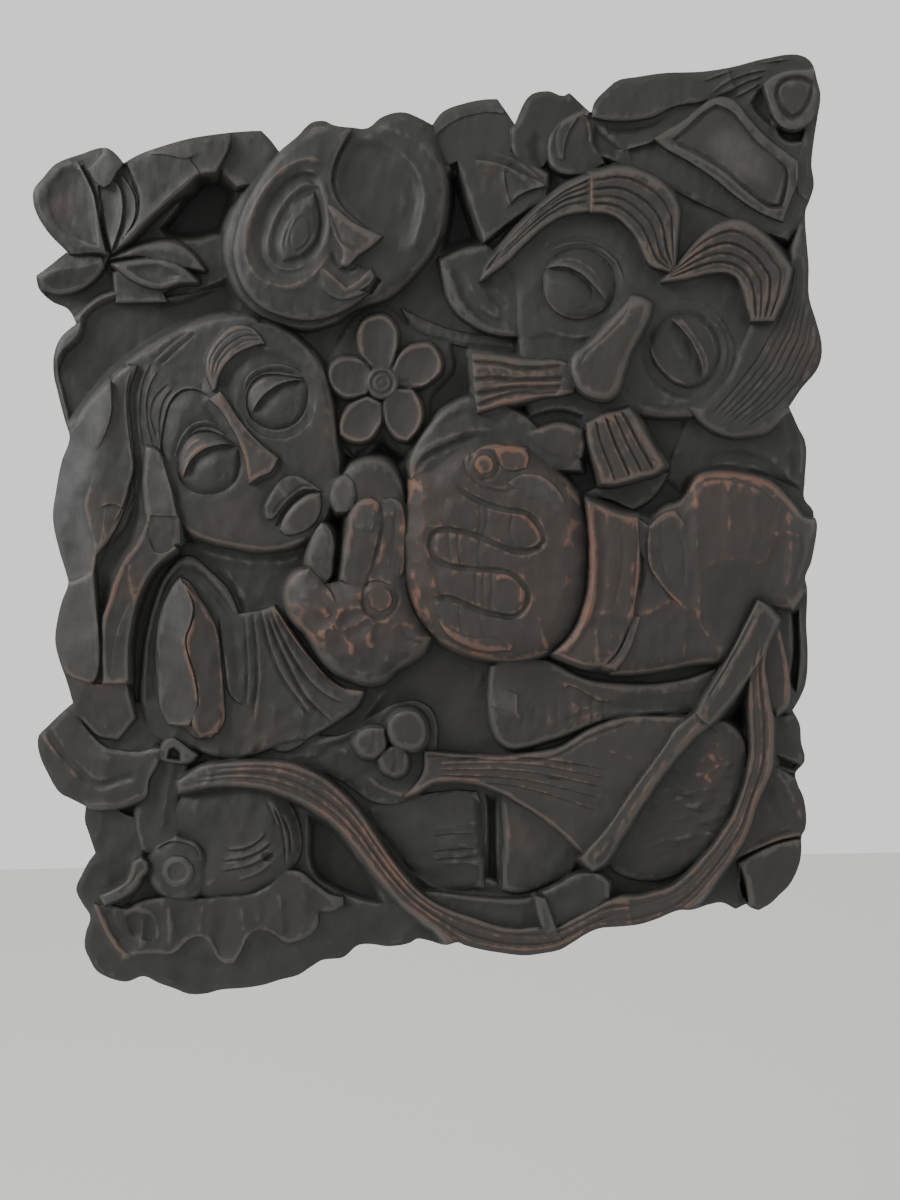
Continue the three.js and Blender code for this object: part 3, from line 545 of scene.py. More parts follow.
def carve_cap(wood):
    """The jester's cap with its shield and the bell at its tip."""
    wood.form([(88, 212), (98, 229), (104, 236), (130, 240), (165, 242), (200, 248), (212, 243), (216, 222),
               (213, 200), (213, 176), (208, 166), (203, 158), (195, 148), (176, 155), (150, 167),
               (128, 178), (108, 188), (94, 194)], 40, lean=(0.03, -0.02), roll=(2.6, 1.4), slope=3.2,
              cuts=(22, 0.4, 1.6, 10, 7))
    # The left end is folded over a dark hollow, and the brim comes to a tip under it.
    wood.form([(88, 214), (93, 222), (104, 236), (134, 242), (160, 242), (166, 226), (150, 220), (134, 217.5),
               (122.5, 212.5), (112, 211), (98, 211.5)], 43.5, lean=(0.0, -0.08), roll=(3, 1.6), slope=4.8)
    for k in range(7):
        wood.groove([(101 + 6 * k, 229 + 0.9 * k), (104 + 6 * k, 221 + 0.8 * k), (105 + 5.6 * k, 214 + 0.7 * k)], 3,
                    0.45, 0.3, False)
    wood.sink([(96, 211), (110, 210.5), (124, 211.5), (134, 216), (126, 208), (112, 203), (99, 203)], 2.4, soft=4)
    wood.lap([(110, 196), (118, 198), (127, 201)], 1.4, 4, 2.5, 1, 8, 0.05, warm=0.3)
    wood.sink([(108, 196), (96, 207), (92, 212), (90, 200), (94, 194), (104, 191)], 4, soft=4)
    for path in ([(153, 223), (162, 229), (172.5, 233), (184, 235)], [(160, 222), (170, 228), (182, 232)],
                 [(148, 229), (162, 234), (178, 238), (196, 240)], [(166, 221), (174, 225), (180, 228)]):
        wood.lap(path, 1.0, 3, 0.9, 1, 3, 0.15)
    # The shield: a raised border round a worn panel.
    shield = [(124, 201.5), (131.5, 205.5), (138.7, 209.5), (149, 217.2), (155, 221), (162.4, 221), (168.5, 217),
              (174.2, 210), (184.5, 199.8), (193.4, 193.2), (199.8, 188.5), (199.8, 178.5), (195.5, 166.7),
              (192.2, 157.5), (181.6, 161.8), (169.8, 169.2), (155, 181), (141.7, 189.8), (129.9, 196.4)]
    wood.form(shield, 45, roll=(1.2, 0.5), slope=4.2, warm=0.2)
    panel = [(132.3, 200.8), (141.7, 208.3), (150.6, 215.6), (156.5, 218.6), (164, 215.6), (169.8, 209.5),
             (178.6, 199.2), (189, 190.5), (195, 184.5), (195.2, 175.6), (192.2, 164.3), (184.5, 165),
             (172.7, 173.8), (158, 185.8), (144.7, 193.8), (135.8, 197.9)]
    middle = np.mean(panel, axis=0)
    inner = (middle + (np.array(panel) - middle) * 0.93).tolist()
    wood.sink(panel, 2.6, soft=1.6)
    wood.form(inner, 44.2, lean=(0.01, -0.03), roll=(1.6, 1), slope=3.5, cuts=(12, 0.45, 1.6, 70, 5), warm=0.15)
    wood.lap([(135, 198), (146, 192.5), (159, 185), (174, 172.5), (186, 164.5), (192, 164)], 0.8, 3, 1.2, -1, 3,
             0.05, warm=0.2)
    wood.tint([(152, 200), (162, 205), (172, 200), (180, 190), (184, 178), (172, 182), (158, 190)], warm=1.0,
              pale=0.7, soft=8)
    # The bell: a ring with a rounded triangle in it.
    wood.sink([(174, 219), (178, 225), (182, 228), (185, 219), (188, 210), (186, 206), (181, 209), (176, 214)], 4,
              soft=3)
    wood.sink([(188, 206.5), (201.5, 205), (204, 206), (202.3, 198), (196, 197.5), (190, 201)], 9, soft=2)
    wood.form([(181.5, 227.5), (184.5, 218), (188.2, 209.5), (193.4, 205.3), (200.8, 205.3), (206.7, 210.5),
               (211.5, 220), (211, 229), (206.7, 234), (193.4, 233.5), (186, 231)], 48, roll=(1.2, 0.6), slope=4.8,
              warm=0.1)
    wood.groove([(189.3, 227), (188.6, 222.5), (191.9, 214.5), (196.4, 210.5), (200.8, 212.7), (206.2, 221.4),
                 (207, 228), (200.8, 230.6), (193.4, 230)], 2.0, 2.4, closed=True)
    wood.scoop((197.5, 222), 6, 8, -0.8)
    wood.lap([(208, 166), (200, 172), (199.5, 186), (204, 200)], 0.3, 4, 0.9, -1, 4, 0.1)


def strands(wood, first, second, count, depth=1.5, width=2.0, taper=0.06, warm=None):
    """Cuts at nearly even steps between two edges, such as the hairs of a brow."""
    for i in range(1, count):
        part = (i + 0.35 * (scatter(i, count, 7) - 0.5)) / count
        deep = depth * (0.5 + 0.35 * scatter(i, count, 11))
        wood.lap(between(first, second, part), deep * 0.4, width, deep, -1, 0.8 * width, taper, warm)
        wood.groove(between(first, second, part), 0.6 * width, deep * 0.5, taper)


def carve_jester(wood):
    """The moustached face under the cap."""
    # Leaf below the cap on the left, and the band under it.
    wood.form([(-12, 116), (0, 110), (12, 105), (30, 101), (48, 98), (52, 92), (30, 94), (10, 98),
               (-6, 104)], 30, roll=(2.5, 1.7))
    wood.form([(9, 141), (20, 145.5), (34, 148), (46, 138), (52, 120), (51, 100), (40, 101), (32, 103.5),
               (25, 107.5), (19, 112), (14, 119), (11, 130)], 37, roll=(1.9, 1.1), cuts=(9, 0.45))
    wood.groove([(16, 137), (20, 130), (23, 122), (27, 115), (34, 109), (45, 106)], 4, 2.4, 0.1, False)
    wood.groove([(32, 133), (37, 122), (44, 115)], 3.5, 2, 0.1, False)
    wood.crest([(13, 140), (15, 130), (18, 121), (25, 112), (36, 106)], 2.6, 1)
    # The face itself.
    face = [(51, 92), (50, 110), (49, 126), (42, 140), (52, 156), (68, 170), (86, 180), (104, 184),
            (124, 180), (146, 168), (168, 160), (186, 150), (199, 132), (194, 106), (188, 86), (172, 66),
            (158, 58), (144, 56), (126, 56), (108, 58), (92, 55), (84, 50), (70, 50), (56, 56), (52, 74)]
    wood.form(face, 39, roll=(4.8, 2.4), crown=3, cuts=(14, 0.3, 1.2, 20, 3))
    wood.sink(oval((84, 123), 25, 24), 3.2, soft=8)
    wood.sink(oval((139, 90), 23, 26, 12), 3.2, soft=8)
    wood.sink([(66, 103), (84, 100), (100, 104), (104, 96), (88, 92), (80, 90), (60, 92), (54, 100)], 2, soft=4)
    # Hair fan on the right.
    fan = [(206, 165), (204, 150), (208, 135), (210, 118), (216, 104), (219, 90), (214, 78), (204, 66),
           (194, 56), (184, 46.5), (175, 45), (167, 44.5), (159, 46.5), (150, 52), (142, 61), (150, 63),
           (158, 70), (165, 80), (170, 92), (176, 105), (188, 108), (192, 118), (196, 132), (198, 148)]
    wood.form(fan, 43, lean=(0, 0.02), roll=(4, 2.8))
    inner = [(198, 140), (194, 122), (186, 106), (176, 88), (164, 72), (152, 58)]
    outer = [(209, 128), (214, 104), (214, 90), (206, 72), (192, 58), (176, 48)]
    strands(wood, inner, outer, 9, 1.3, 2.2)
    wood.tint([(180, 100), (188, 74), (208, 76), (214, 92), (206, 108)], warm=0.55)
    # Brows: bundles of hairs.
    left_low = [(31, 131), (44, 142), (56, 152), (66, 160), (76, 165), (90, 166)]
    left_top = [(34, 136), (45, 150), (60, 165), (76, 177), (90, 184), (92, 184)]
    wood.form([(31, 130), (34, 137), (45, 150), (60, 165), (76, 177), (91, 184), (91, 165), (76, 163),
               (66, 158), (56, 150), (44, 139)], 47, lean=(0.03, 0), roll=(0.9, 0.6),
              warm=0.3)
    strands(wood, left_low, left_top, 5, 1.7, 1.7)
    arch_top = [(90, 184), (97, 185), (104, 186.5), (112, 186), (120, 183), (127, 179), (133, 173),
                (136.5, 166), (136.5, 155), (135.5, 145), (135, 132)]
    arch_low = [(90, 164.5), (97, 164), (104, 161.5), (109, 157), (114, 151), (118, 143), (121, 137),
                (124, 135), (128, 134), (131, 133), (134, 132)]
    wood.form(arch_top + arch_low[::-1], 50.5, roll=(0.9, 0.6), warm=0.45)
    strands(wood, arch_top, arch_low, 5, 1.9, 1.8)
    right_top = [(131, 131), (138, 138), (145, 146), (150, 151), (158, 156), (166, 158), (172, 157.5),
                 (178, 154), (185, 148), (191, 141), (197, 133), (194, 120), (188, 106)]
    right_low = [(128, 127.5), (138, 128.5), (146, 130), (153, 131.5), (158, 132), (163, 131.5),
                 (168, 129), (170, 126), (172, 121), (173, 117), (174, 113), (175, 110), (176, 106)]
    wood.form(right_top + right_low[::-1], 50.5, roll=(0.9, 0.6), warm=0.45)
    strands(wood, right_top, right_low, 5, 1.9, 1.8)
    wood.crest([(90, 184.5), (90.5, 164)], 1.5, 0.8, 0, warm=0.7)
    carve_jester_eyes(wood)
    carve_jester_nose(wood)


def carve_jester_eyes(wood):
    """Two bulging eyes in ringed sockets."""
    for size in (31, 27.5, 24.5):
        wood.groove(oval((84, 123), size, size * 0.9, 0, 12, 150), 1.8, 0.8, 0.25)
    wood.groove([(61, 118), (65, 109), (73, 104), (82, 102), (91, 103), (99, 108)], 3, 1.4, 0.1)
    eye(wood,
        [(64.3, 125), (65, 134), (68, 139.5), (74, 143), (83, 145), (92, 143), (99, 137), (103, 128),
         (102, 120), (98, 114), (91, 110.3), (83, 108.6), (76, 109.7), (70, 113.3), (66, 118.5)],
        [(65, 135), (71, 136.3), (78, 135.5), (85, 131.8), (91, 126), (95.5, 120.5), (98.5, 116.5)],
        [(68, 139.5), (75, 143.3), (83.5, 145.3), (92.5, 143), (99.5, 137), (104, 127.5)],
        [[(64, 141), (72, 147.3), (84, 149.3), (95, 146.3), (104, 138), (108, 127)]],
        ((82.5, 122), 8, 8.3), 41.5, 1, 0.4)
    wood.crest([(70, 139), (78, 140.5), (86, 137.8), (93, 131.5), (98, 124)], 1.3, 0.8, 0.1, warm=0.5)
    wood.crest([(64.8, 124), (66.8, 118), (71, 113.3), (77, 109.8), (84, 109), (91, 110.7), (98, 114.8)],
               1.5, 0.9, 0.06, warm=0.8)
    # The right eye, turned on its side.
    for reach in (0, 3.6):
        wood.groove([(130, 113 + reach), (141, 115 + reach), (152 + reach * 0.6, 111 + reach), (160 + reach, 103),
                     (164 + reach, 93), (163 + reach, 82), (157 + reach * 0.8, 71 - reach)], 1.8, 0.9, 0.2)
    eye(wood,
        [(121, 97), (125, 104), (131, 109), (140, 110), (149, 107.5), (156, 100), (159, 91), (157, 81),
         (151, 74), (143, 71.3), (135, 73.5), (128, 79), (123, 86)],
        [(132, 108.5), (137.5, 103), (142.5, 97), (146.5, 90), (149.2, 82.5), (150, 75)],
        [(140, 110.3), (149, 108), (156, 100.5), (159, 91), (157, 81.5)],
        [],
        ((137, 88), 7, 9), 41.5, 1, 0.5)
    wood.crest([(137, 108.5), (143.5, 101.5), (149.2, 93), (152.3, 85), (152.5, 77)], 1.6, 1.0, 0.08, warm=0.9)
    wood.crest([(143, 109), (151, 104), (155.5, 96), (157, 87.5)], 1.3, 0.7, 0.1, warm=0.4)
    wood.crest([(120.8, 97), (122.2, 90.5), (125.5, 84.5), (130.5, 78.8), (136, 75), (141, 72.6)],
               1.6, 1.2, 0.05, warm=1.0)
    wood.groove([(118, 101), (117.5, 92), (119.5, 84), (123.5, 77), (129.5, 71.5), (137, 68), (146, 67.5)],
                3, 1.8, 0.06)
    wood.groove([(106, 72), (113, 66.5), (122, 62.5), (132, 60.5), (142, 61)], 2.2, 1.1, 0.1)


def carve_jester_nose(wood):
    """Long nose, bundled moustaches and the lower lip."""
    nose = [(112, 120), (117, 119), (122, 116), (120.5, 109), (117, 102), (113, 95), (110, 89), (107.5, 82),
            (105.5, 75), (103, 69.5), (98, 66.3), (93, 66.5), (88, 68), (83, 72), (80, 78), (79, 84.5),
            (81, 90), (86, 93.5), (92, 98.5), (98, 105), (105, 112)]
    wood.form(nose, 55, lean=(0.02, -0.06), roll=(2.2, 1.3), crown=1.5, warm=0.35)
    wood.lap([(112, 118), (108, 110), (101, 102), (94, 96), (88, 91), (84, 84)], 1.0, 5, 0.4, side=1)
    left = [(25, 91.5), (35, 90.5), (42, 89.5), (50, 88), (60, 87), (70, 87), (80, 85), (82, 78), (80, 70),
            (72, 68.5), (64, 68), (50, 65), (42, 64), (35, 62), (28, 60), (26.5, 70), (26, 80)]
    wood.form(left, 49, lean=(-0.04, 0), roll=(1, 0.7), warm=0.5)
    for path in (
        [(24, 87), (40, 86), (50, 83.5), (60, 83), (74, 84)],
        [(25, 77.5), (35, 78.3), (45, 77.3), (60, 77), (75, 77.5)],
        [(26, 70), (38, 71.5), (50, 73), (62, 72.5), (74, 73)],
        [(27, 63.5), (40, 68), (50, 70.3), (62, 70.3), (72, 70)],
    ):
        wood.groove(path, 1.9, 2.2, 0.04)
    wood.crest([(26, 74), (40, 74.5), (55, 75), (72, 75)], 1.3, 0.5, 0.05, warm=0.7)
    wood.crest([(28, 61), (40, 65), (52, 66.8), (64, 68.5)], 1.3, 0.6, 0.05, warm=0.9)
    right = [(87, 53), (98, 58), (110, 61), (115, 54), (120, 45), (125, 37), (129.5, 29.5), (124, 25.5),
             (117, 24), (110, 22), (100, 20), (95, 20.5), (93, 28), (90, 36), (88, 44)]
    wood.form(right, 49, roll=(1, 0.7), warm=0.55)
    strands(wood, [(87, 53), (88, 44), (90, 36), (93, 28), (95, 20.5)],
            [(110, 61), (115, 54), (120, 45), (125, 37), (129.5, 29.5)], 5, 2.2, 1.9, 0.04)
    wood.form([(84, 66), (94, 66), (104, 66), (112, 62), (104, 60), (96, 56), (86, 52), (82, 56)], 40,
              roll=(1.2, 0.6))
    for offset in (0, 4):
        wood.groove([(88 + offset, 63), (96 + offset, 59.5), (106 + offset, 61)], 1.3, 0.9)
    lip = [(54, 48), (58, 43), (62, 39.5), (67, 36.5), (74, 34.8), (84, 35), (86, 42), (85, 50), (74, 54),
           (62, 54)]
    wood.form(lip, 45, roll=(1.9, 1.1), crown=1, warm=0.45)
    wood.sink([(50, 55), (60, 60), (74, 62), (86, 58), (85, 50), (72, 53), (58, 50)], floor=34, soft=3)
    wood.sink([(54, 42), (60, 34), (72, 29.5), (86, 32), (86, 35.5), (74, 34), (65, 37), (58, 42)], floor=34,
              soft=2.5)


def carve_flower(wood):
    """Five dished petals that meet round a ringed centre."""
    middle = (-23.4, 77)
    wood.sink([(-49, 44), (-40, 37), (-32, 40), (-26, 50), (-20, 50), (-12, 42), (-9, 36), (-16, 31), (-26, 28),
               (-36, 33), (-47, 28), (-50, 34)], floor=13, soft=5)
    wood.form([(-50, 94), (-38, 112), (-22, 120), (-6, 106), (14, 98), (16, 84), (4, 68), (2, 48), (-12, 38),
               (-24, 48), (-40, 38), (-52, 52), (-48, 68), (-58, 80)], 30, roll=(4, 3), slope=2.2, cuts=(12, 0.6))
    petals = [
        [(-27.5, 84), (-33.5, 91), (-35.3, 98), (-34.5, 105.5), (-31.5, 110), (-27, 112), (-21, 112), (-16.5, 107.5),
         (-14.8, 103), (-16, 92), (-18, 84)],
        [(-18, 84), (-14, 91), (-9, 95), (-3, 96.8), (3, 96.5), (6.5, 93), (8.5, 87.5), (8.2, 83), (4.5, 79),
         (1, 76.3), (-6, 74), (-15, 75)],
        [(-15, 74), (-7, 73), (-2.8, 64.5), (-2.6, 57), (-6, 50.5), (-10.5, 45.8), (-15, 47), (-19, 51),
         (-22.6, 58), (-23, 66)],
        [(-24, 66), (-23.8, 58), (-27, 52), (-31, 47.5), (-37, 45.8), (-42, 47), (-46.5, 50), (-46.3, 56),
         (-43.5, 62), (-39, 66.5), (-32, 70)],
        [(-32, 71), (-42, 69.5), (-47.5, 72.5), (-50.8, 77), (-51.8, 82), (-50, 87), (-45.5, 90), (-39, 90.3),
         (-33, 88.5), (-28, 83)],
    ]
    tones = (0.2, 0.35, 0.35, 0.3, 0.15)
    for petal, tone in zip(petals, tones):
        edge = np.asarray(petal, float)
        wood.form(petal, 41.5, roll=(0.5, 0.2), slope=4.2, warm=tone)
        wood.sink((edge.mean(0) + (edge - edge.mean(0)) * 0.93).tolist(), 0.2, soft=1.5, bowl=1.6)
        wood.crest(petal[1:-1], 1.1, 0.35, 0.1, warm=1.0)
    for start, end in (((-23.6, 65), (-23.2, 57)), ((-15, 74.5), (-4, 74)), ((-18, 84), (-15, 93)),
                       ((-28, 83.5), (-35, 91)), ((-32, 70.5), (-42, 68))):
        wood.groove([start, end], 1.8, 1.6, 0.0)
    wood.sink([(-15, 80), (-8, 79.5), (-6, 75), (-9, 72.5), (-16, 73)], 1.8, soft=2.5)
    wood.form(oval(middle, 8.6, 8.6), 42.5, roll=(1.4, 1), slope=4.8, warm=0.2, over=True)
    wood.groove(oval(middle, 5.6, 5.6), 1.5, 1.2, closed=True)
    wood.groove(oval(middle, 2.4, 2.4), 1.0, 0.8, closed=True)


def carve_woman(wood):
    """The woman on the left: hair, face, neck and dress."""
    carve_hair(wood)
    carve_neck(wood)
    carve_face(wood)
    carve_eyes(wood)
    carve_mouth(wood)


def carve_hair(wood):
    """Long locks cut in flat facets, rounding away to the left."""
    mass = [(-195, 50), (-185, 66), (-178, 74), (-170, 82), (-160, 90.5), (-150, 97), (-140, 102.5),
            (-130, 107), (-120, 110.5), (-105, 113), (-92, 112), (-84, 104), (-100, 84), (-120, 70),
            (-132, 50), (-138, 20), (-137, -11), (-150, -19), (-160, -35), (-166, -55), (-169, -84),
            (-172, -98), (-188, -108), (-212, -92), (-214, -60), (-206, -30), (-212, 8), (-204, 38)]
    wood.form(mass, 38.5, lean=(0.03, 0), roll=(2.4, 1.4), slope=2.9, cuts=(20, 0.5, 1.4, 75, 2))
    # The outer lock, its facets turned to the left and lightened with a painted sheen.
    outer = [(-197, 46), (-194, 51), (-185.3, 66), (-179.6, 72), (-170.5, 80), (-170.5, 70.7), (-171, 64),
             (-174, 54.8), (-178, 46.8), (-181, 42), (-182.4, 35.5), (-183.6, 26.4), (-186.4, 20.7),
             (-187.6, 14), (-186, 4), (-184.5, -6), (-183, -13.5), (-184.5, -22), (-192, -26.5), (-202, -28),
             (-210, -8), (-212, 10), (-208, 28)]
    wood.form(outer, 37.5, lean=(0.42, 0.0), roll=(0.8, 0.3), cuts=(21, 1.5, 1.4, 70, 4), slope=4.2, over=True,
              pale=1.0)
    wood.lap([(-170.5, 80), (-170.5, 70.7), (-171, 64), (-174, 54.8), (-178, 46.8), (-181, 42), (-182.4, 35.5),
              (-183.6, 26.4), (-186.4, 20.7), (-187.6, 14), (-186, 4), (-184.5, -6), (-183, -13.5)], 0.8, 5,
             0.5, 1, 1.5, 0.03, warm=0.15)
    for middle, across, up, turn in (((-180, 64), 8, 12, -30), ((-187, 46), 9, 14, -15), ((-195, 22), 10, 16, 0),
                                     ((-193, -4), 8, 12, 5), ((-196, -15), 6, 12, 0)):
        wood.scoop(middle, across, up, 0.9, turn)
    wood.tint([(-185, 66), (-178, 72), (-173, 66), (-178, 52), (-187, 54)], pale=0.8, warm=0.0)
    wood.tint([(-200, -7), (-195, -3), (-189, -7), (-188.5, -22), (-196, -26)], pale=0.35, soft=2)
    wood.tint([(-190, -4), (-184, -12), (-184.5, -22), (-189, -23)], warm=0.7, soft=2)
    wood.crest([(-184, -14), (-185, -22), (-192, -26), (-199, -29)], 1.6, 0.7, 0.05, warm=0.9)
    # The second lock, smooth, with a rounded stop near its end.
    second = [(-170, 80), (-160, 88), (-156, 88), (-160.5, 76), (-161, 60), (-160, 46), (-160, 34), (-163, 24),
              (-165, 16), (-169, 6), (-175, -4), (-183, -13), (-186, 4), (-187.5, 14), (-183.6, 27),
              (-181, 42), (-174, 55), (-171, 66)]
    wood.form(second, 42.2, lean=(0.02, 0.0), roll=(1.4, 0.6), slope=3.5, cuts=(20, 1.2, 1.6, 80, 4), warm=0.1)
    wood.form([(-169.5, 80.5), (-160, 88.3), (-158.5, 88), (-161, 80), (-168, 78)], 43.4, lean=(0, 0.05),
              roll=(0.5, 0.2), slope=3.8, pale=0.6)
    wood.tint([(-186, 26), (-176, 22), (-166, 18), (-170, 4), (-182, -12), (-186, 4), (-188, 14)], warm=0.6)
    wood.lap([(-178.5, 13), (-172.8, 14.6), (-167.5, 12)], 0.9, 4, 0.9, 1, 5, 0.06, warm=0.3)
    wood.lap([(-177, 11), (-178.5, 2), (-181, -8)], 0.6, 3, 0.5, 1, 3, 0.1)
    # Fine locks beside the forehead, each laid over the next.
    locks = [
        [(-158.5, 87), (-161.5, 76), (-162, 60), (-161, 46), (-160, 34), (-163, 24), (-166, 15), (-172, 4)],
        [(-152, 90), (-156.5, 80), (-158.3, 68), (-158, 56), (-156.5, 42), (-157, 30), (-160, 20), (-166, 8)],
        [(-147, 91), (-152, 82), (-154.8, 70), (-155.5, 58), (-154.5, 48), (-153.5, 38)],
        [(-144, 86), (-149, 78), (-151.5, 68), (-151, 56), (-149, 46)],
        [(-138.7, 79), (-143.2, 75.5), (-147.5, 70.5), (-149.5, 62), (-147, 50)],
        [(-137, 76), (-142, 70), (-144.8, 60), (-145, 48)],
    ]
    for k, path in enumerate(locks):
        wood.lap(path, 0.6, 2.6, 0.9, -1, 2.6, 0.08, warm=0.2)
    wood.tint([(-155, 82), (-146, 89), (-145, 84), (-150, 78)], warm=0.7, pale=0.4, soft=2)
    wood.tint([(-150, 63), (-146, 73), (-139, 79), (-141, 72), (-146, 66)], warm=0.5, pale=0.5, soft=2)
    for path in ([(-147, 90), (-137, 99), (-126, 106.5)], [(-142, 88.5), (-133, 96.5), (-122.5, 105)],
                 [(-150, 95), (-140, 102), (-131, 106)]):
        wood.lap(path, 0.7, 2.6, 1.2, -1, 3, 0.1, warm=0.15)
    wood.groove([(-138, 81), (-130, 85), (-121, 83)], 3, 0.6, 0.3, False)
    # The third lock, from the temple down in front of the shoulder.
    third = [(-152.5, 45), (-148, 44), (-145, 41), (-141.8, 35.5), (-139.8, 26.4), (-138, 18.4), (-136.4, 9.3),
             (-136.5, -9), (-141, -12.3), (-150, -19), (-156, -27), (-160.7, -36), (-164.7, -48.6),
             (-167.5, -62), (-168.6, -83), (-170, -84), (-182, -84), (-181.7, -63.4), (-180.6, -48.6),
             (-176, -38.4), (-173.2, -29.3), (-167.5, -18), (-159.5, -7.7), (-154, 4), (-154.5, 14),
             (-154.6, 26), (-153.5, 36)]
    wood.form(third, 45.5, lean=(0.03, 0.0), roll=(1.4, 0.6), slope=3.5, cuts=(17, 1.1, 1.7, 70, 8), warm=0.2)
    wood.tint([(-152, 42), (-146, 40), (-140, 26), (-138, 12), (-150, 11), (-153, 24)], pale=0.5, soft=4)
    wood.sink([(-161, 28), (-158, 22), (-157, 8), (-161, -6), (-169, -18), (-175, -30), (-178, -40),
               (-182, -50), (-183.5, -64), (-185.5, -60), (-185, -38), (-183.5, -18), (-178, -8),
               (-168, 4), (-163, 16)], 4, soft=4)
    wood.crest([(-158.5, 26), (-161, 14), (-167, 2), (-175, -8)], 2, 0.9, 0.1)
    wood.crest([(-152.5, 9), (-154.5, 3), (-160, -8), (-168, -18.5), (-173.7, -30), (-176.5, -39),
                (-181, -50)], 2.2, 1.1, 0.05, warm=1.0)
    wood.crest([(-181.3, -50), (-182, -62), (-182.5, -76)], 2.6, 0.9, 0.1, warm=0.2)
    # Facets of the third lock: a square one at the jaw and long ones below it.
    wood.lap([(-152.5, 8), (-145, 7.5), (-137, 7)], 0.6, 6, 0.9, 1, 6, 0.04, warm=0.5)
    wood.lap([(-153.5, -4), (-151, -11.5), (-146, -13), (-138, -9)], 0.7, 4, 0.8, -1, 5, 0.05, warm=0.5)
    wood.groove([(-153, 5), (-153.5, -4), (-151.5, -11)], 1.6, 0.6, 0.1)
    wood.lap([(-165, -17), (-166, -28), (-163.5, -41)], 0.5, 5, 0.7, 1, 6, 0.1, warm=0.7)
    wood.tint([(-168, -20), (-156, -14), (-158, -28), (-164, -42), (-172, -34)], warm=0.8, soft=4)
    wood.lap([(-166, -40), (-172, -52), (-176, -66), (-178, -82)], 0.4, 5, 0.6, 1, 5, 0.1)
    # Lower left: the hair swells out again over the leaf.
    lower = [(-203, -29), (-195, -27), (-185, -22), (-184.5, -42), (-184, -63.4), (-187, -81.6), (-190, -83.9),
             (-199.3, -80.5), (-206, -75), (-214, -70), (-214, -48), (-208, -34)]
    wood.form(lower, 41.5, lean=(0.3, 0.0), roll=(1.4, 0.8), slope=3.8, cuts=(22, 1.5, 1.2, 85, 5), warm=0.25,
              over=True, pale=0.4)
    wood.crest([(-204.5, -74), (-199.3, -80), (-189.7, -83.5)], 2, 0.8, 0.05, warm=1.0)
    ends = [(-206, -76), (-199, -81), (-190, -84.4), (-169.8, -84.4), (-168, -94), (-166, -104), (-176, -116),
            (-186, -114), (-196, -104), (-208, -98), (-212, -88)]
    wood.form(ends, 38.8, lean=(0.06, 0.12), roll=(1, 0.5), slope=3.5, cuts=(15, 0.6, 1.3, 70, 6), warm=0.15,
              over=True)
    wood.tint([(-198, -82), (-188, -85), (-171, -85), (-170, -94), (-190, -92)], warm=0.6, soft=3)
    wood.crest([(-189.7, -83.9), (-180, -84.2), (-170, -84.4)], 1.6, 0.6, 0.04, warm=1.0)
    wood.groove([(-190, -85), (-189, -94), (-184, -106)], 2.4, 0.8, 0.1)
    wood.groove([(-197, -94), (-190, -105), (-182, -117), (-175, -123)], 4, 1.2, 0.1, False)


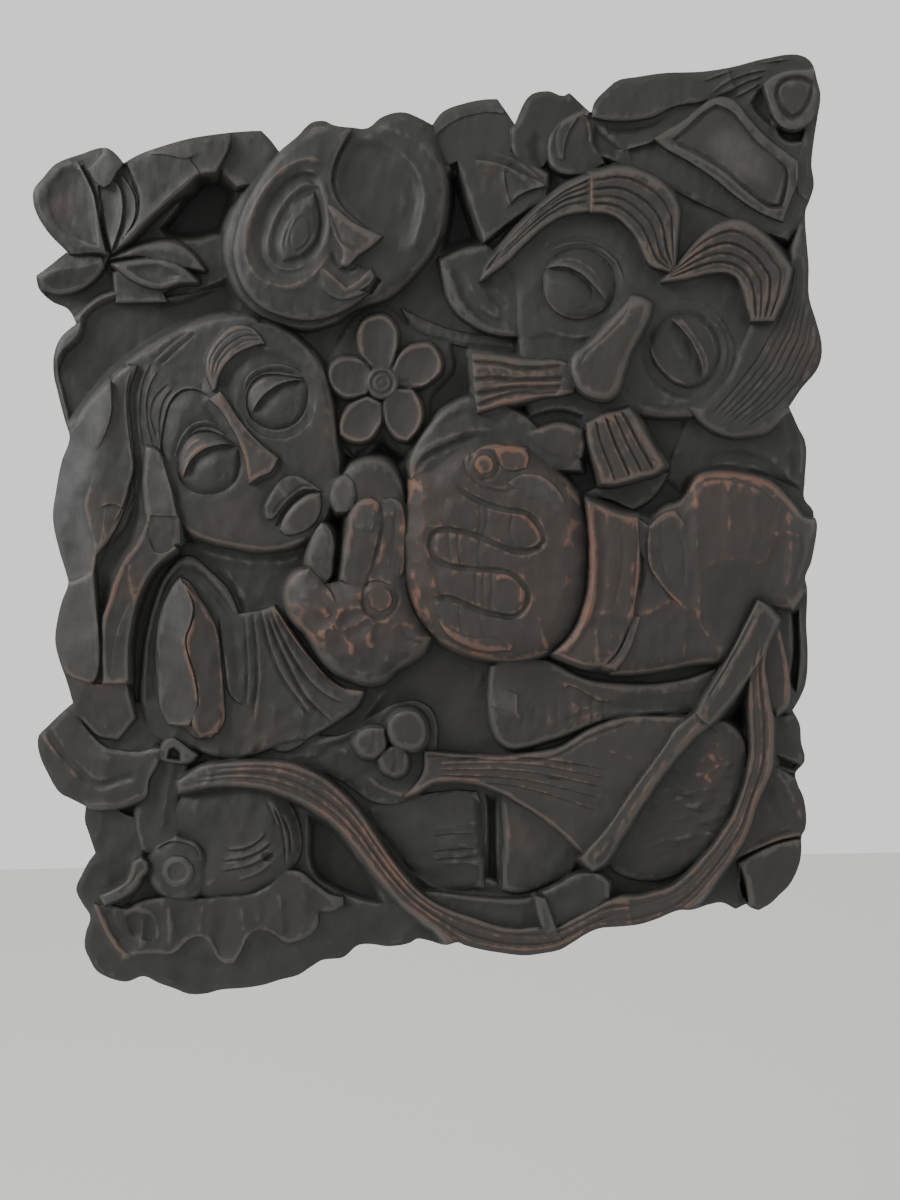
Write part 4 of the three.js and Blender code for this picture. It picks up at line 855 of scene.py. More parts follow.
def carve_neck(wood):
    """Neck, collar, shoulder and the folds of the dress."""
    wood.form([(-140, -8), (-120, -6), (-95, -10), (-66, -4), (-58, -18), (-78, -30), (-76, -52), (-112, -52),
               (-128, -28)], 29, roll=(2.5, 1.1), cuts=(9, 0.6), over=True)
    wood.crest([(-132, -8), (-120, -13.5), (-105, -17.5), (-90, -19.5), (-76, -18), (-68, -13)], 4, 2.2)
    wood.crest([(-112, -22), (-104, -36), (-100, -46)], 4, 1.2)
    wood.groove([(-118, -22), (-108, -34), (-104, -46)], 3, 1.4)
    dress = [(-162, -96), (-160, -75), (-158, -62), (-155, -50), (-151, -38), (-147, -28), (-142, -21),
             (-137, -16), (-131, -15), (-126, -18), (-120, -24), (-113, -31), (-108, -41), (-106, -47),
             (-98, -46), (-92, -45), (-86, -43), (-78, -56), (-66, -74), (-50, -90), (-38, -92), (-42, -100),
             (-52, -107), (-62, -113), (-72, -118), (-86, -121), (-100, -126), (-110, -128.5), (-119, -127.5),
             (-130, -124), (-142, -119), (-152, -117), (-158, -112)]
    wood.form(dress, 35, lean=(0.02, 0.01), roll=(1.9, 1.1), cuts=(10, 0.38, 1.4, 80, 3), over=True)
    # The shoulder: two arched bands round a pointed, faceted fold.
    wood.groove([(-157, -95), (-155.5, -70), (-153, -56), (-149, -43), (-145, -34), (-140, -27), (-135, -23),
                 (-129, -24.5), (-123, -30), (-116, -38), (-110, -47)], 3.2, 2.0, 0.03, False)
    wood.crest([(-160, -80), (-157, -60), (-153, -45), (-147, -30), (-140, -20), (-134, -16.5), (-127, -19),
                (-119, -27), (-111, -38)], 3, 1.5, 0.04)
    fold = [(-137, -26.5), (-141, -31), (-145, -38), (-148, -45), (-150, -53), (-152, -68), (-152, -85),
            (-151, -100), (-147, -108), (-138, -110), (-132, -116), (-124, -116), (-117, -108), (-116, -92),
            (-117, -75), (-117.5, -62), (-119, -54), (-123, -45), (-128, -37), (-133, -29)]
    wood.form(fold, 40, lean=(0, 0.02), roll=(1.2, 0.6), warm=0.35)
    left = [(-137, -27), (-141, -31), (-145, -38), (-148, -45), (-151, -56), (-152, -70), (-152, -85),
            (-151, -100), (-147, -108), (-136, -109), (-131, -98), (-132, -82), (-135, -70), (-136, -60),
            (-133, -52), (-131, -43), (-133, -35)]
    wood.form(left, 41, lean=(0.28, 0.0), roll=(0.5, 0.2), cuts=(19, 1.2, 1.3, 80, 9), over=True, warm=0.2, pale=0.3)
    right = [(-135, -30), (-131, -38), (-130, -45), (-132, -53), (-135, -62), (-134, -70), (-131, -82),
             (-130, -97), (-134, -108), (-130, -116), (-120, -113), (-117, -100), (-116.5, -80),
             (-118, -60), (-123, -47), (-129, -37)]
    wood.form(right, 41.5, lean=(-0.3, 0.0), roll=(0.5, 0.2), cuts=(14, 1.2, 1.6, 80, 4), over=True, warm=0.6)
    wood.crest([(-136, -29), (-132, -38), (-131, -46), (-133, -55), (-136, -62), (-135, -71), (-132, -83),
                (-131, -97)], 3, 1.2, 0.05, warm=1.0)
    wood.crest([(-151.5, -55), (-145, -58), (-140, -61), (-136, -63)], 3, 0.9, warm=0.8)
    # A painted highlight on the left facets of the fold.
    wood.tint([(-137, -30), (-142, -34), (-150, -54), (-137, -61), (-133, -50), (-133, -36)], pale=1.0, warm=0.0)
    wood.crest([(-147, -108), (-140, -109.5), (-134, -107)], 3, 0.9, warm=0.5)
    # The folds that run down from the neck.
    wood.lap([(-117, -48), (-116, -62), (-114.5, -78), (-113, -91), (-109, -96), (-104, -98.5)], 1.5, 4.5,
             1.4, side=1, warm=0.9)
    wood.groove([(-110, -50), (-108.5, -68), (-107, -88)], 2.2, 1.2)
    wood.lap([(-103, -46), (-102, -68), (-102.5, -88), (-104, -100)], 1.2, 4, 1.4, side=1, warm=0.3)
    wood.lap([(-98, -46), (-96.5, -66), (-96.5, -85), (-99, -100), (-100, -108)], 1.6, 4.5, 1.6, side=1,
             warm=0.6)
    folds = [
        [(-93, -46), (-91, -58), (-88, -70), (-84, -80), (-79, -89), (-74, -96), (-67, -107)],
        [(-90, -46), (-86, -60), (-80, -74), (-74, -87), (-70, -94), (-62, -103), (-55, -110)],
        [(-88, -45), (-82, -60), (-75, -74), (-67, -86), (-58, -94), (-48, -99)],
        [(-86, -44), (-80, -55), (-73, -66), (-65, -76), (-57, -85), (-49, -90), (-38, -92)],
    ]
    for path, tone in zip(folds, (0.4, 0.5, 0.5, 0.6)):
        wood.lap(path, 2.0, 4.6, 1.8, side=1, warm=tone)
    wood.crest([(-86, -44), (-80, -54), (-73, -65), (-65, -75), (-57, -84), (-49, -90), (-38, -92)], 2.4, 1.5,
               0.02, warm=0.9)
    wood.marks([(-150, -112), (-118, -96), (-80, -98), (-56, -102), (-60, -113), (-100, -127), (-120, -128),
                (-150, -118)], 8, 0.9, 1.3, 70, 6)
    wood.tint([(-130, -100), (-110, -98), (-80, -104), (-76, -116), (-108, -126), (-128, -120)], warm=0.5)
    # Scroll under the shoulder.
    wood.form([(-154, -128), (-152, -121), (-149, -117), (-145, -116), (-141, -118.5), (-137, -122), (-132, -126),
               (-136, -130), (-146, -130)], 38, roll=(1.2, 0.8), warm=0.1)
    wood.sink([(-150, -128), (-148, -121.5), (-144.5, -120.5), (-141, -124), (-141, -130)], 7, soft=2.5)


def eye(wood, ball, edge, outer, folds, iris, level, side, warm=0.3):
    """A ball in its socket, half covered by a lid whose edge stands over a dark opening.

    edge is the lid's lower edge, outer its upper one, folds the lines beyond it and iris the
    centre and the two radii of a ring on the ball.
    """
    wood.form(ball, level, roll=(5, 2.6), crown=2.6, slope=4.2, over=True)
    wood.lap(edge, 1.2, 5, 3.8, side, 8, 0.16)
    wood.lap(outer, -1.4, 3.5, -0.9, side, 3, 0.2)
    wood.crest(edge, 1.2, 0.5, 0.08, warm=warm)
    for fold in folds:
        wood.lap(fold, -0.8, 4, -0.8, side, 3, 0.1)
    centre, across, up = iris
    wood.groove(oval(centre, across, up, 0, -115, 210), 1.2, 0.5, 0.2)
    wood.groove(oval((centre[0] + 0.5, centre[1]), across * 0.4, up * 0.4, 0, -120, 240), 1.1, 0.4, 0.2)


def carve_face(wood):
    """The woman's face, smooth, with the jaw as a lit edge."""
    face = [(-144, 38), (-144, 50), (-142, 60), (-139, 68), (-135, 73), (-128, 76), (-121, 76), (-119, 84),
            (-117, 92), (-112, 101), (-105, 107), (-97, 109), (-84, 109), (-72, 103), (-62, 94), (-55, 84),
            (-51, 66), (-49, 45), (-48, 28), (-53, 12), (-59, 1), (-66, -6), (-75, -10), (-85, -12),
            (-95, -12), (-108, -9.5), (-118, -7), (-130, -2), (-137, 7), (-140, 22)]
    wood.form(face, 42, lean=(0.0, 0.0), roll=(5, 2.4), crown=2.0, slope=3.5, cuts=(18, 0.3, 1.3, 30, 4), over=True)
    wood.crest([(-137, 7), (-130, -1.5), (-118, -6.5), (-108, -9), (-95, -11.3), (-85, -11.5), (-75, -9.5),
                (-66, -5)], 2.2, 0.9, 0.1, warm=0.7)
    # The hair line on the forehead, with the dark cut under it.
    wood.lap([(-145, 40), (-144, 50), (-142, 60), (-139, 68), (-135, 73), (-129, 75.7), (-123, 75),
              (-117.5, 71.5)], 1.0, 2.2, 2.8, 1, 8, 0.05, warm=0.6)
    # Right side of the face, turned away beside the eye.
    wood.crest([(-66, 97), (-59, 88), (-56.5, 76), (-55, 62), (-54, 46), (-52.5, 30)], 9, 1.1, 0.1)
    wood.tint([(-63, 90), (-52, 70), (-49, 30), (-64, 30), (-72, 48), (-58, 62)], warm=0.35)
    wood.tint([(-122, 14), (-96, 16), (-90, -6), (-120, -4)], warm=0.6)
    wood.sink([(-114, 80), (-104, 92), (-92, 97), (-78, 96), (-66, 88), (-64, 80), (-80, 86), (-94, 84),
               (-101, 72), (-104, 62), (-110, 70)], 2.2, soft=5)
    # Brow crescent over the right eye, running out over the forehead.
    brow_outer = [(-115, 74.5), (-118, 84), (-117.5, 92), (-113.5, 99), (-108.5, 104.5), (-103, 108),
                  (-97, 108.5), (-91, 106)]
    brow_inner = [(-113.5, 75.5), (-111.5, 82), (-108, 88), (-103, 92.7), (-97, 96), (-90, 98.3), (-86, 99)]
    wood.form(brow_outer + brow_inner[::-1], 45.8, lean=(-0.02, 0), roll=(0.9, 0.5), slope=4.8, warm=0.35)
    strands(wood, brow_outer[1:], brow_inner[1:], 4, 1.1, 1.5, 0.1)
    wood.lap(brow_inner, 0.3, 2, 2.6, 1, 9, 0.1)
    wood.tint([(-118, 78), (-116, 98), (-104, 108), (-94, 106), (-90, 99), (-104, 92), (-112, 82)], warm=0.55,
              pale=0.35)
    # Nose: a wedge with a flat front.
    nose = [(-117.5, 70), (-111, 74), (-108, 69.5), (-104, 62.5), (-98, 54), (-92, 47), (-87, 42.5), (-81, 38),
            (-82.5, 34.5), (-86, 30), (-91, 28), (-97, 24.5), (-98, 30), (-99, 38), (-102, 47), (-106.5, 56),
            (-112, 65)]
    wood.form(nose, 48.5, lean=(0.05, -0.04), roll=(0.8, 0.4), slope=8, warm=0.5)
    wood.groove([(-110, 73), (-103, 60), (-92, 45.5), (-80, 37.5), (-84, 29), (-90, 26.5), (-97, 23)], 2.6, 1.6,
                0.08)
    wood.crest([(-97.2, 25), (-98.3, 33), (-99.5, 40), (-103, 49), (-108, 58)], 1.4, 0.7, 0.05, warm=0.9)
    wood.crest([(-97, 25), (-91, 28.5), (-86, 30.5), (-83, 34.5), (-81.5, 38)], 1.2, 0.4, 0.05, warm=0.7)
    wood.groove([(-120, 68), (-115, 60), (-109, 51), (-104.5, 42), (-102, 32)], 3, 1.6, 0.1)


def carve_eyes(wood):
    """The woman's two eyes."""
    wood.sink([(-104, 66), (-100, 80), (-91, 88), (-80, 91), (-68, 88), (-59, 80), (-58, 66), (-64, 53),
               (-76, 47), (-90, 49), (-99, 57)], 2.6, soft=8)
    eye(wood,
        [(-97, 64), (-97.3, 71), (-95, 77.5), (-90, 81.8), (-83, 83), (-75, 82), (-66, 80.5), (-63.6, 76),
         (-63.6, 70), (-65.5, 63), (-69.5, 57.5), (-76, 53.7), (-84, 53), (-91, 56), (-95.5, 60)],
        [(-94.7, 61), (-92, 66), (-88.3, 70.8), (-83.5, 74.6), (-77, 77.8), (-70, 79), (-64.5, 78.6)],
        [(-97.5, 70), (-95.3, 78), (-90, 82.5), (-83, 84), (-75, 83.3), (-66, 80.5)],
        [[(-99, 73), (-96.5, 81), (-90.5, 86), (-81, 88.3), (-72, 86.5), (-65, 82.5)]],
        ((-77.5, 65), 6.5, 6.8), 41, 1)
    wood.crest([(-95.7, 68), (-93.5, 74.5), (-89.5, 78.5), (-84, 80.5)], 1.3, 0.6, 0.1, warm=0.6)
    wood.tint([(-97, 64), (-97, 74), (-90, 82), (-80, 82), (-86, 77), (-92, 69)], warm=0.5, pale=0.6, soft=2)
    wood.crest([(-95, 61), (-90.5, 55.5), (-84, 52.5), (-76, 53), (-69, 57), (-64.5, 63.5)], 1.2, 0.6, 0.08)
    wood.lap([(-99, 60), (-92, 52), (-83, 48.5), (-73, 49.5), (-64, 56), (-60, 66)], 0.5, 5, 1.2, -1, 4, 0.1)
    # Left eye.
    wood.sink([(-143, 36), (-138, 50), (-129, 60), (-118, 60), (-107, 54), (-99, 44), (-99, 32), (-104, 21),
               (-116, 14.5), (-130, 17), (-139, 25)], 2.6, soft=8)
    eye(wood,
        [(-135.8, 29), (-135.5, 38), (-132.5, 46), (-128, 51.5), (-122, 53.5), (-115, 52.5), (-108, 48.5),
         (-101.5, 43.5), (-101, 38), (-101.8, 31), (-104.5, 25.5), (-110, 20.8), (-117.5, 18.8), (-126, 19.5),
         (-132.5, 23.5)],
        [(-133.5, 27), (-130.6, 34), (-126.5, 39.5), (-121, 43.2), (-115, 45), (-108, 45.5), (-102, 44)],
        [(-136, 33), (-134.6, 41), (-131, 48.5), (-126, 53.5), (-120, 55.3), (-113, 53.6), (-106, 49)],
        [[(-138, 38), (-134.5, 48), (-128, 56), (-120, 58.5), (-112, 56.5)]],
        ((-115, 30), 7, 6.5), 41, 1, 0.5)
    for path in ([(-135, 31), (-132.6, 39.5), (-128, 46), (-122.5, 49)], [(-134, 29), (-130.5, 37), (-125, 43),
                                                                         (-118, 46.5)]):
        wood.crest(path, 1.4, 0.8, 0.08, warm=1.0)
    wood.tint([(-135.5, 29), (-135, 40), (-129, 50), (-123, 49), (-120, 45), (-129, 38), (-133, 29)], warm=0.8,
              pale=0.5, soft=2)
    wood.crest([(-133, 24.5), (-126.5, 20.2), (-118, 19.3), (-110.5, 21.3), (-105, 26)], 1.2, 0.6, 0.08)


def carve_mouth(wood):
    """Pursed lips turned to the hand."""
    wood.sink([(-94, 8), (-90, 22), (-80, 32), (-66, 31), (-54, 22), (-53, 8), (-62, -5), (-76, -8), (-88, -3)],
              1.8, soft=6)
    upper = [(-88.5, 5), (-89, 12), (-86, 18), (-82, 24), (-77, 27.8), (-70, 27.5), (-64, 24), (-58, 19.5),
             (-62.5, 20.2), (-68, 20.8), (-74, 17), (-80, 11.3), (-86, 5)]
    wood.form(upper, 44.8, lean=(-0.05, 0.03), roll=(1.2, 0.6), slope=4.8, warm=0.15)
    wood.crest([(-83, 25), (-79, 19.5), (-76, 15.5)], 2.4, 1.2, 0.1, warm=0.7)
    # A painted highlight on the upper lip.
    wood.tint([(-83, 25.5), (-78, 27), (-76, 21), (-78, 17), (-82, 18)], pale=0.9, warm=0.3, soft=2)
    wood.groove([(-85.5, 7), (-80, 13.5), (-74, 19), (-67.5, 22.5), (-61, 21)], 1.6, 1.4, 0.08)
    lower = [(-81.5, -1), (-79.5, 4.5), (-76.5, 9), (-71, 14.6), (-65, 17.8), (-59, 18.2), (-58.6, 12.5),
             (-60.2, 6), (-65, 0), (-71.5, -3), (-78, -3.8)]
    wood.form(lower, 45, roll=(2.4, 1.2), crown=0.8, slope=4.8, warm=0.3)
    wood.groove([(-83, 0.5), (-79.5, 7), (-74, 13.5), (-67, 18.4), (-60, 20)], 1.5, 2.2, 0.05)
    wood.crest([(-79, 6.5), (-73.5, 12), (-66.5, 16.4), (-60.5, 17.5)], 1.2, 0.5, 0.08, warm=0.6)
    wood.crest([(-88.8, 5), (-89.2, 9), (-88.5, 13)], 1.4, 0.9, warm=0.6)
    wood.groove([(-84, 3), (-78.5, 9.5), (-72, 15.5), (-64, 19)], 3, 1.2, 0.1)


def carve_hand(wood):
    """The woman's hand, held up under her chin."""
    # The rounded back of the hand behind the fingers, with a knuckle in front of it.
    wood.form([(-46, 28), (-41, 33.5), (-31, 36.5), (-22, 34.5), (-17, 28), (-13.5, 18), (-12.5, 6), (-13, -20),
               (-16, -34), (-30, -36), (-44, -22), (-45, -6), (-43, 8), (-42, 18), (-44, 24)], 45, roll=(6, 3),
              cuts=(14, 0.5), warm=0.1)
    wood.tint(oval((-34, 22), 6, 6), warm=0.7, soft=5)
    wood.form([(-53, 13), (-52.5, 20), (-49, 26), (-44.5, 28), (-41, 25), (-39.5, 18), (-41, 11), (-45, 8), (-50, 8)],
              46.5, lean=(0, 0.05), roll=(2.4, 1.2), cuts=(8, 0.6), warm=0.3, pale=0.5)
    palm = [(-80, -36), (-77.5, -29), (-72, -24), (-66, -22), (-61, -29), (-55, -31), (-50, -30), (-47, -20),
            (-45, -8), (-43, 4), (-40, 10), (-36, 14.5), (-30, 17), (-20, 17), (-13, 12), (-11, -2),
            (-13, -20), (-13, -35), (-9, -48), (0, -62), (-5, -70.5), (-12, -75), (-20, -80), (-27, -86),
            (-36, -87), (-45, -84), (-53, -80), (-61, -72), (-68, -59), (-75, -52), (-79, -44)]
    wood.form(palm, 48, roll=(8, 5), crown=2, cuts=(12, 1.3, 1.1, 20, 3), warm=0.7)
    wood.tint([(-38, -88), (-58, -78), (-66, -64), (-44, -72), (-24, -66), (-8, -60), (-2, -64), (-16, -80)],
              warm=0.15)
    wood.sink([(-51.5, 0), (-49.5, -7), (-48, -15), (-49, -25), (-55, -32), (-57, -28), (-53, -19),
               (-52.5, -8)], 7, soft=2.2)
    # Thumb.
    thumb = [(-58.5, 2), (-62, -2), (-65, -9), (-67, -16), (-67, -22), (-63, -28), (-58, -31), (-54.5, -27),
             (-53, -18), (-52, -11), (-53, -4), (-56, 1)]
    wood.form(thumb, 45.5, roll=(2.4, 1.2), warm=0.3)
    wood.form([(-57.5, -1), (-61, -4), (-63.5, -10), (-64.5, -15), (-61, -18), (-57.5, -17), (-55, -10), (-55.5, -3)],
              46.2, roll=(1, 0.5), warm=0.1, pale=0.5)
    wood.lap([(-74, -24), (-66, -22.5), (-60, -29), (-55, -35), (-52, -42)], 1.0, 5, 1.2, side=-1)
    # The raised finger and the one beside it.
    finger = [(-44, -1), (-43, 5), (-40, 10.5), (-36, 14), (-31, 15), (-27, 12), (-26, 5), (-26.5, -5),
              (-28, -15), (-30, -25), (-33, -33), (-42, -33), (-49, -29), (-47.5, -20), (-46, -10)]
    wood.form(finger, 50.5, lean=(0, 0.03), roll=(2.4, 1.2), cuts=(9, 0.5, 1.4, 80, 5), warm=0.6)
    wood.form([(-41, 4), (-39, 9), (-34.5, 11.5), (-29.5, 9.5), (-28.5, 3), (-30.5, -2.5), (-35, -3.5), (-40, -1)],
              51.4, roll=(1, 0.5), cuts=(6, 0.4), warm=0.35, pale=0.3)
    wood.form([(-25, 14), (-20, 15), (-15, 12), (-13, 4), (-13.5, -10), (-15, -26), (-20, -33), (-29, -33),
               (-27.5, -20), (-25, -8), (-23.5, 4)], 49.2, roll=(2.4, 1.2), cuts=(9, 0.4), warm=0.15)
    wood.groove([(-26, 12), (-25, 2), (-27.5, -10), (-31, -22), (-35, -32), (-37, -40), (-36, -46), (-31.5, -50.5),
                 (-25, -51), (-20.5, -47), (-18.5, -41), (-19.5, -35)], 1.7, 1.5, 0.04)
    wood.groove([(-18, 13), (-18.5, 0), (-20, -14), (-22, -28)], 1.4, 0.7)
    # The nail of the bent finger, and the facets round it.
    wood.form([(-33, -35.5), (-28, -34), (-22.5, -35.5), (-21, -40.5), (-23, -45.5), (-28, -47.5),
               (-32, -45), (-34, -40)], 50.6, roll=(0.9, 0.4), warm=1.0)
    wood.lap([(-36, -33.5), (-34, -30.5), (-28, -30), (-21, -33)], 0.9, 4, 0.9, 1, 2, warm=0.8)
    ridges = [
        [(-70, -42), (-62, -45), (-57, -50), (-54, -55), (-49, -56.5), (-47, -63), (-44, -67), (-45, -72)],
        [(-61, -61), (-58, -57), (-54, -55)],
        [(-54, -55), (-50, -47), (-42, -45), (-37, -45)],
        [(-49, -57), (-41, -54), (-35, -50), (-30, -52.5), (-22, -52)],
        [(-31, -53), (-34, -61), (-33, -68)],
        [(-72, -38), (-66, -39), (-60, -43), (-56, -50)],
    ]
    for path in ridges:
        wood.crest(path, 3.2, 1.4, 0.06, warm=1.0)
    wood.tint([(-79, -40), (-76, -28), (-66, -23), (-62, -29), (-66, -38), (-74, -52)], warm=0.6, pale=0.5)
    wood.groove([(-17, -57), (-12, -63.5), (-4, -64.5)], 1.6, 1.0)
    wood.groove([(-60, -66), (-50, -74), (-38, -78), (-24, -76)], 3, 0.8, 0.2, False)


def carve_fist(wood):
    """The jester's fist: a heel round the outside, four fingers bent over each other."""
    heel = [(-9, 24), (-9.5, 34), (-5, 44), (2, 53.5), (8, 60.5), (15, 65), (23, 68), (32, 68), (44, 63),
            (54, 57), (62, 50), (72, 48), (82, 44), (84, 28), (60, 30), (40, 40), (10, 30)]
    wood.form(heel, 44, roll=(2.5, 1.4), cuts=(9, 0.52, 1.3, 60, 3), warm=0.1)
    wood.crest([(-6, 33), (0, 42), (8, 45.5), (15, 48), (22, 50.5), (30, 51), (40, 49)], 3.5, 1.8, warm=0.2)
    wood.groove([(-7, 28), (-1, 36), (8, 41), (18, 45), (30, 46.5)], 2.6, 2)
    wood.groove([(6, 52), (14, 57.5), (24, 60), (34, 59), (44, 54)], 3, 1.2, 0.1, False)
    fist = [(-9.5, 24), (-10.5, 14), (-12.5, 5), (-14, -5), (-14.5, -15), (-13, -30), (-10, -42), (-5, -52),
            (0, -59), (5, -64), (12, -68), (20, -71.5), (28, -74), (36, -75.5), (45, -76), (53, -75),
            (61, -73), (68, -69.5), (74, -64), (79, -57), (83, -48), (85.5, -36), (86.5, -20), (86.5, -5),
            (85, 4), (82, 13), (76, 22), (68, 30), (60, 36), (53, 43), (47, 46), (38, 44.5), (28, 43.5),
            (20, 41), (12, 36.5), (4, 30), (-3, 28)]
    wood.form(fist, 51.5, roll=(12, 7), crown=2.5, cuts=(12, 0.9, 1.1, 60, 7), warm=0.75)
    wood.crest([(-12, 3), (-13, -12), (-11.5, -28), (-8, -42), (-2, -54)], 5, 1.6, 0.1, warm=0.8)
    wood.crest([(-11, -20), (-5, -20), (0, -25), (3, -35), (4, -46)], 4, 1.2, 0.08, warm=0.8)
    wood.crest([(-10, -25), (-7, -35), (-3, -44), (1, -56)], 3.5, 1.0, 0.08, warm=0.8)
    wood.tint([(-14, 18), (-8, 34), (0, 30), (4, 0), (2, -40), (8, -60), (-2, -62), (-12, -42)], warm=0.9)
    # The fingers lie over one another as a winding line shows.
    swell = [
        [(20, 17), (30, 10), (42, 7), (54, 3), (60, -2), (62, -10), (50, -14), (36, -11), (24, -5), (12, -3),
         (6, 4), (10, 14)],
        [(4, -4), (14, -4), (24, -6), (36, -11), (50, -15), (60, -14), (58, -24), (46, -27), (34, -26),
         (20, -24), (8, -21), (2, -14)],
        [(6, -23), (18, -25), (32, -27), (46, -29), (54, -37), (52, -46), (46, -51), (32, -49), (18, -44),
         (8, -41), (3, -34)],
        [(4, -43), (16, -45), (30, -49), (46, -53), (52, -60), (44, -70), (30, -70), (14, -64), (6, -56)],
    ]
    for finger in swell:
        wood.form(finger, 54.6, roll=(5, 1.8), cuts=(9, 0.3, 1.3, 5, 4), warm=0.6)
    winding = [(17, 20), (20, 17), (23, 15), (27, 13), (33, 10.3), (40, 8), (48, 6.5), (54, 5), (58.5, 1),
               (61.5, -4), (63, -10), (59, -14), (52, -16), (48, -15.5), (42, -13.5), (35, -10.5), (28, -7),
               (22, -5), (15, -3.5), (8, -2.7), (3.5, -4), (1, -8), (0.8, -13), (3, -18), (8, -21.5),
               (13, -23), (18, -24), (28, -25), (38, -26), (44, -27.3), (49, -31), (53.5, -37), (53.5, -44),
               (50.5, -49), (46, -51.5), (40, -51), (30, -48.5), (18, -43.5), (10, -40), (3, -41)]
    wood.groove(winding, 2.0, 1.9, 0.02, False, warm=0.3)
    wood.groove([(63, -13), (56, -14.5), (47, -14)], 1.8, 1.2, warm=0.2)
    for path in (
        [(28, 12), (28.5, 3), (27, -6)], [(32.5, 10), (32, 1), (30, -7)], [(46, 6), (45, -3), (46.5, -14)],
        [(11, -3), (11, -11), (12, -21)], [(16, -4), (16, -13), (17, -23)], [(28, -8), (27.5, -16), (27, -25)],
        [(25, -26), (25.5, -34), (25, -45)], [(29.5, -26), (29.5, -36), (29, -47)],
        [(34, -27), (34.5, -36), (33, -48)], [(16, -45), (16, -51), (17, -60)], [(27, -49), (28, -55), (30, -63)],
        [(6, -54), (15, -60), (25, -63), (35, -63.5), (41, -67), (43, -73)],
    ):
        wood.groove(path, 1.1, 0.7, 0.08)
    for path in ([(45, 5.5), (50, 4), (57, -1), (62, -11)], [(36, -30), (44, -30), (50, -36), (50.5, -44)],
                 [(22, -71), (34, -73), (46, -72)], [(60, -52), (62, -62), (64, -70)]):
        wood.crest(path, 2.2, 0.8, 0.06, warm=1.0)
    # The thumb's nail, ringed, and the worn band beside it.
    wood.form([(20, 22), (24, 38), (32, 42), (44, 42), (54, 40), (55, 31), (46, 26), (36, 20), (28, 17)], 52.6,
              roll=(3, 1.2), warm=0.55)
    wood.form([(37, 41), (45, 41.5), (53, 40), (55, 36), (54, 30), (49, 28.5), (43, 29), (39, 33)], 54.4,
              lean=(0, 0.05), roll=(0.9, 0.6), warm=1.0)
    wood.groove(oval((31, 32), 8, 8), 1.6, 1.2, closed=True)
    wood.form(oval((31, 32), 5, 5.2), 54.8, roll=(1.2, 0.7), warm=0.9)
    wood.groove([(20, 38), (22, 28), (30, 21), (42, 17), (50, 20)], 2, 1.6)
    wood.groove([(24, 42), (24.5, 34), (29, 25), (38, 21), (46, 22)], 1.6, 1.1)
    wood.form([(44, 22), (50, 26), (57, 26.5), (65, 23.5), (73, 15), (76, 7), (72, 5), (66, 9), (58, 13), (50, 17)],
              53.6, lean=(0.0, 0.1), roll=(0.9, 0.4), cuts=(9, 0.6), warm=0.35, pale=0.45)
    wood.groove([(52, 20), (60, 12), (68, 7), (74, 0)], 3, 1.0, 0.2, False)


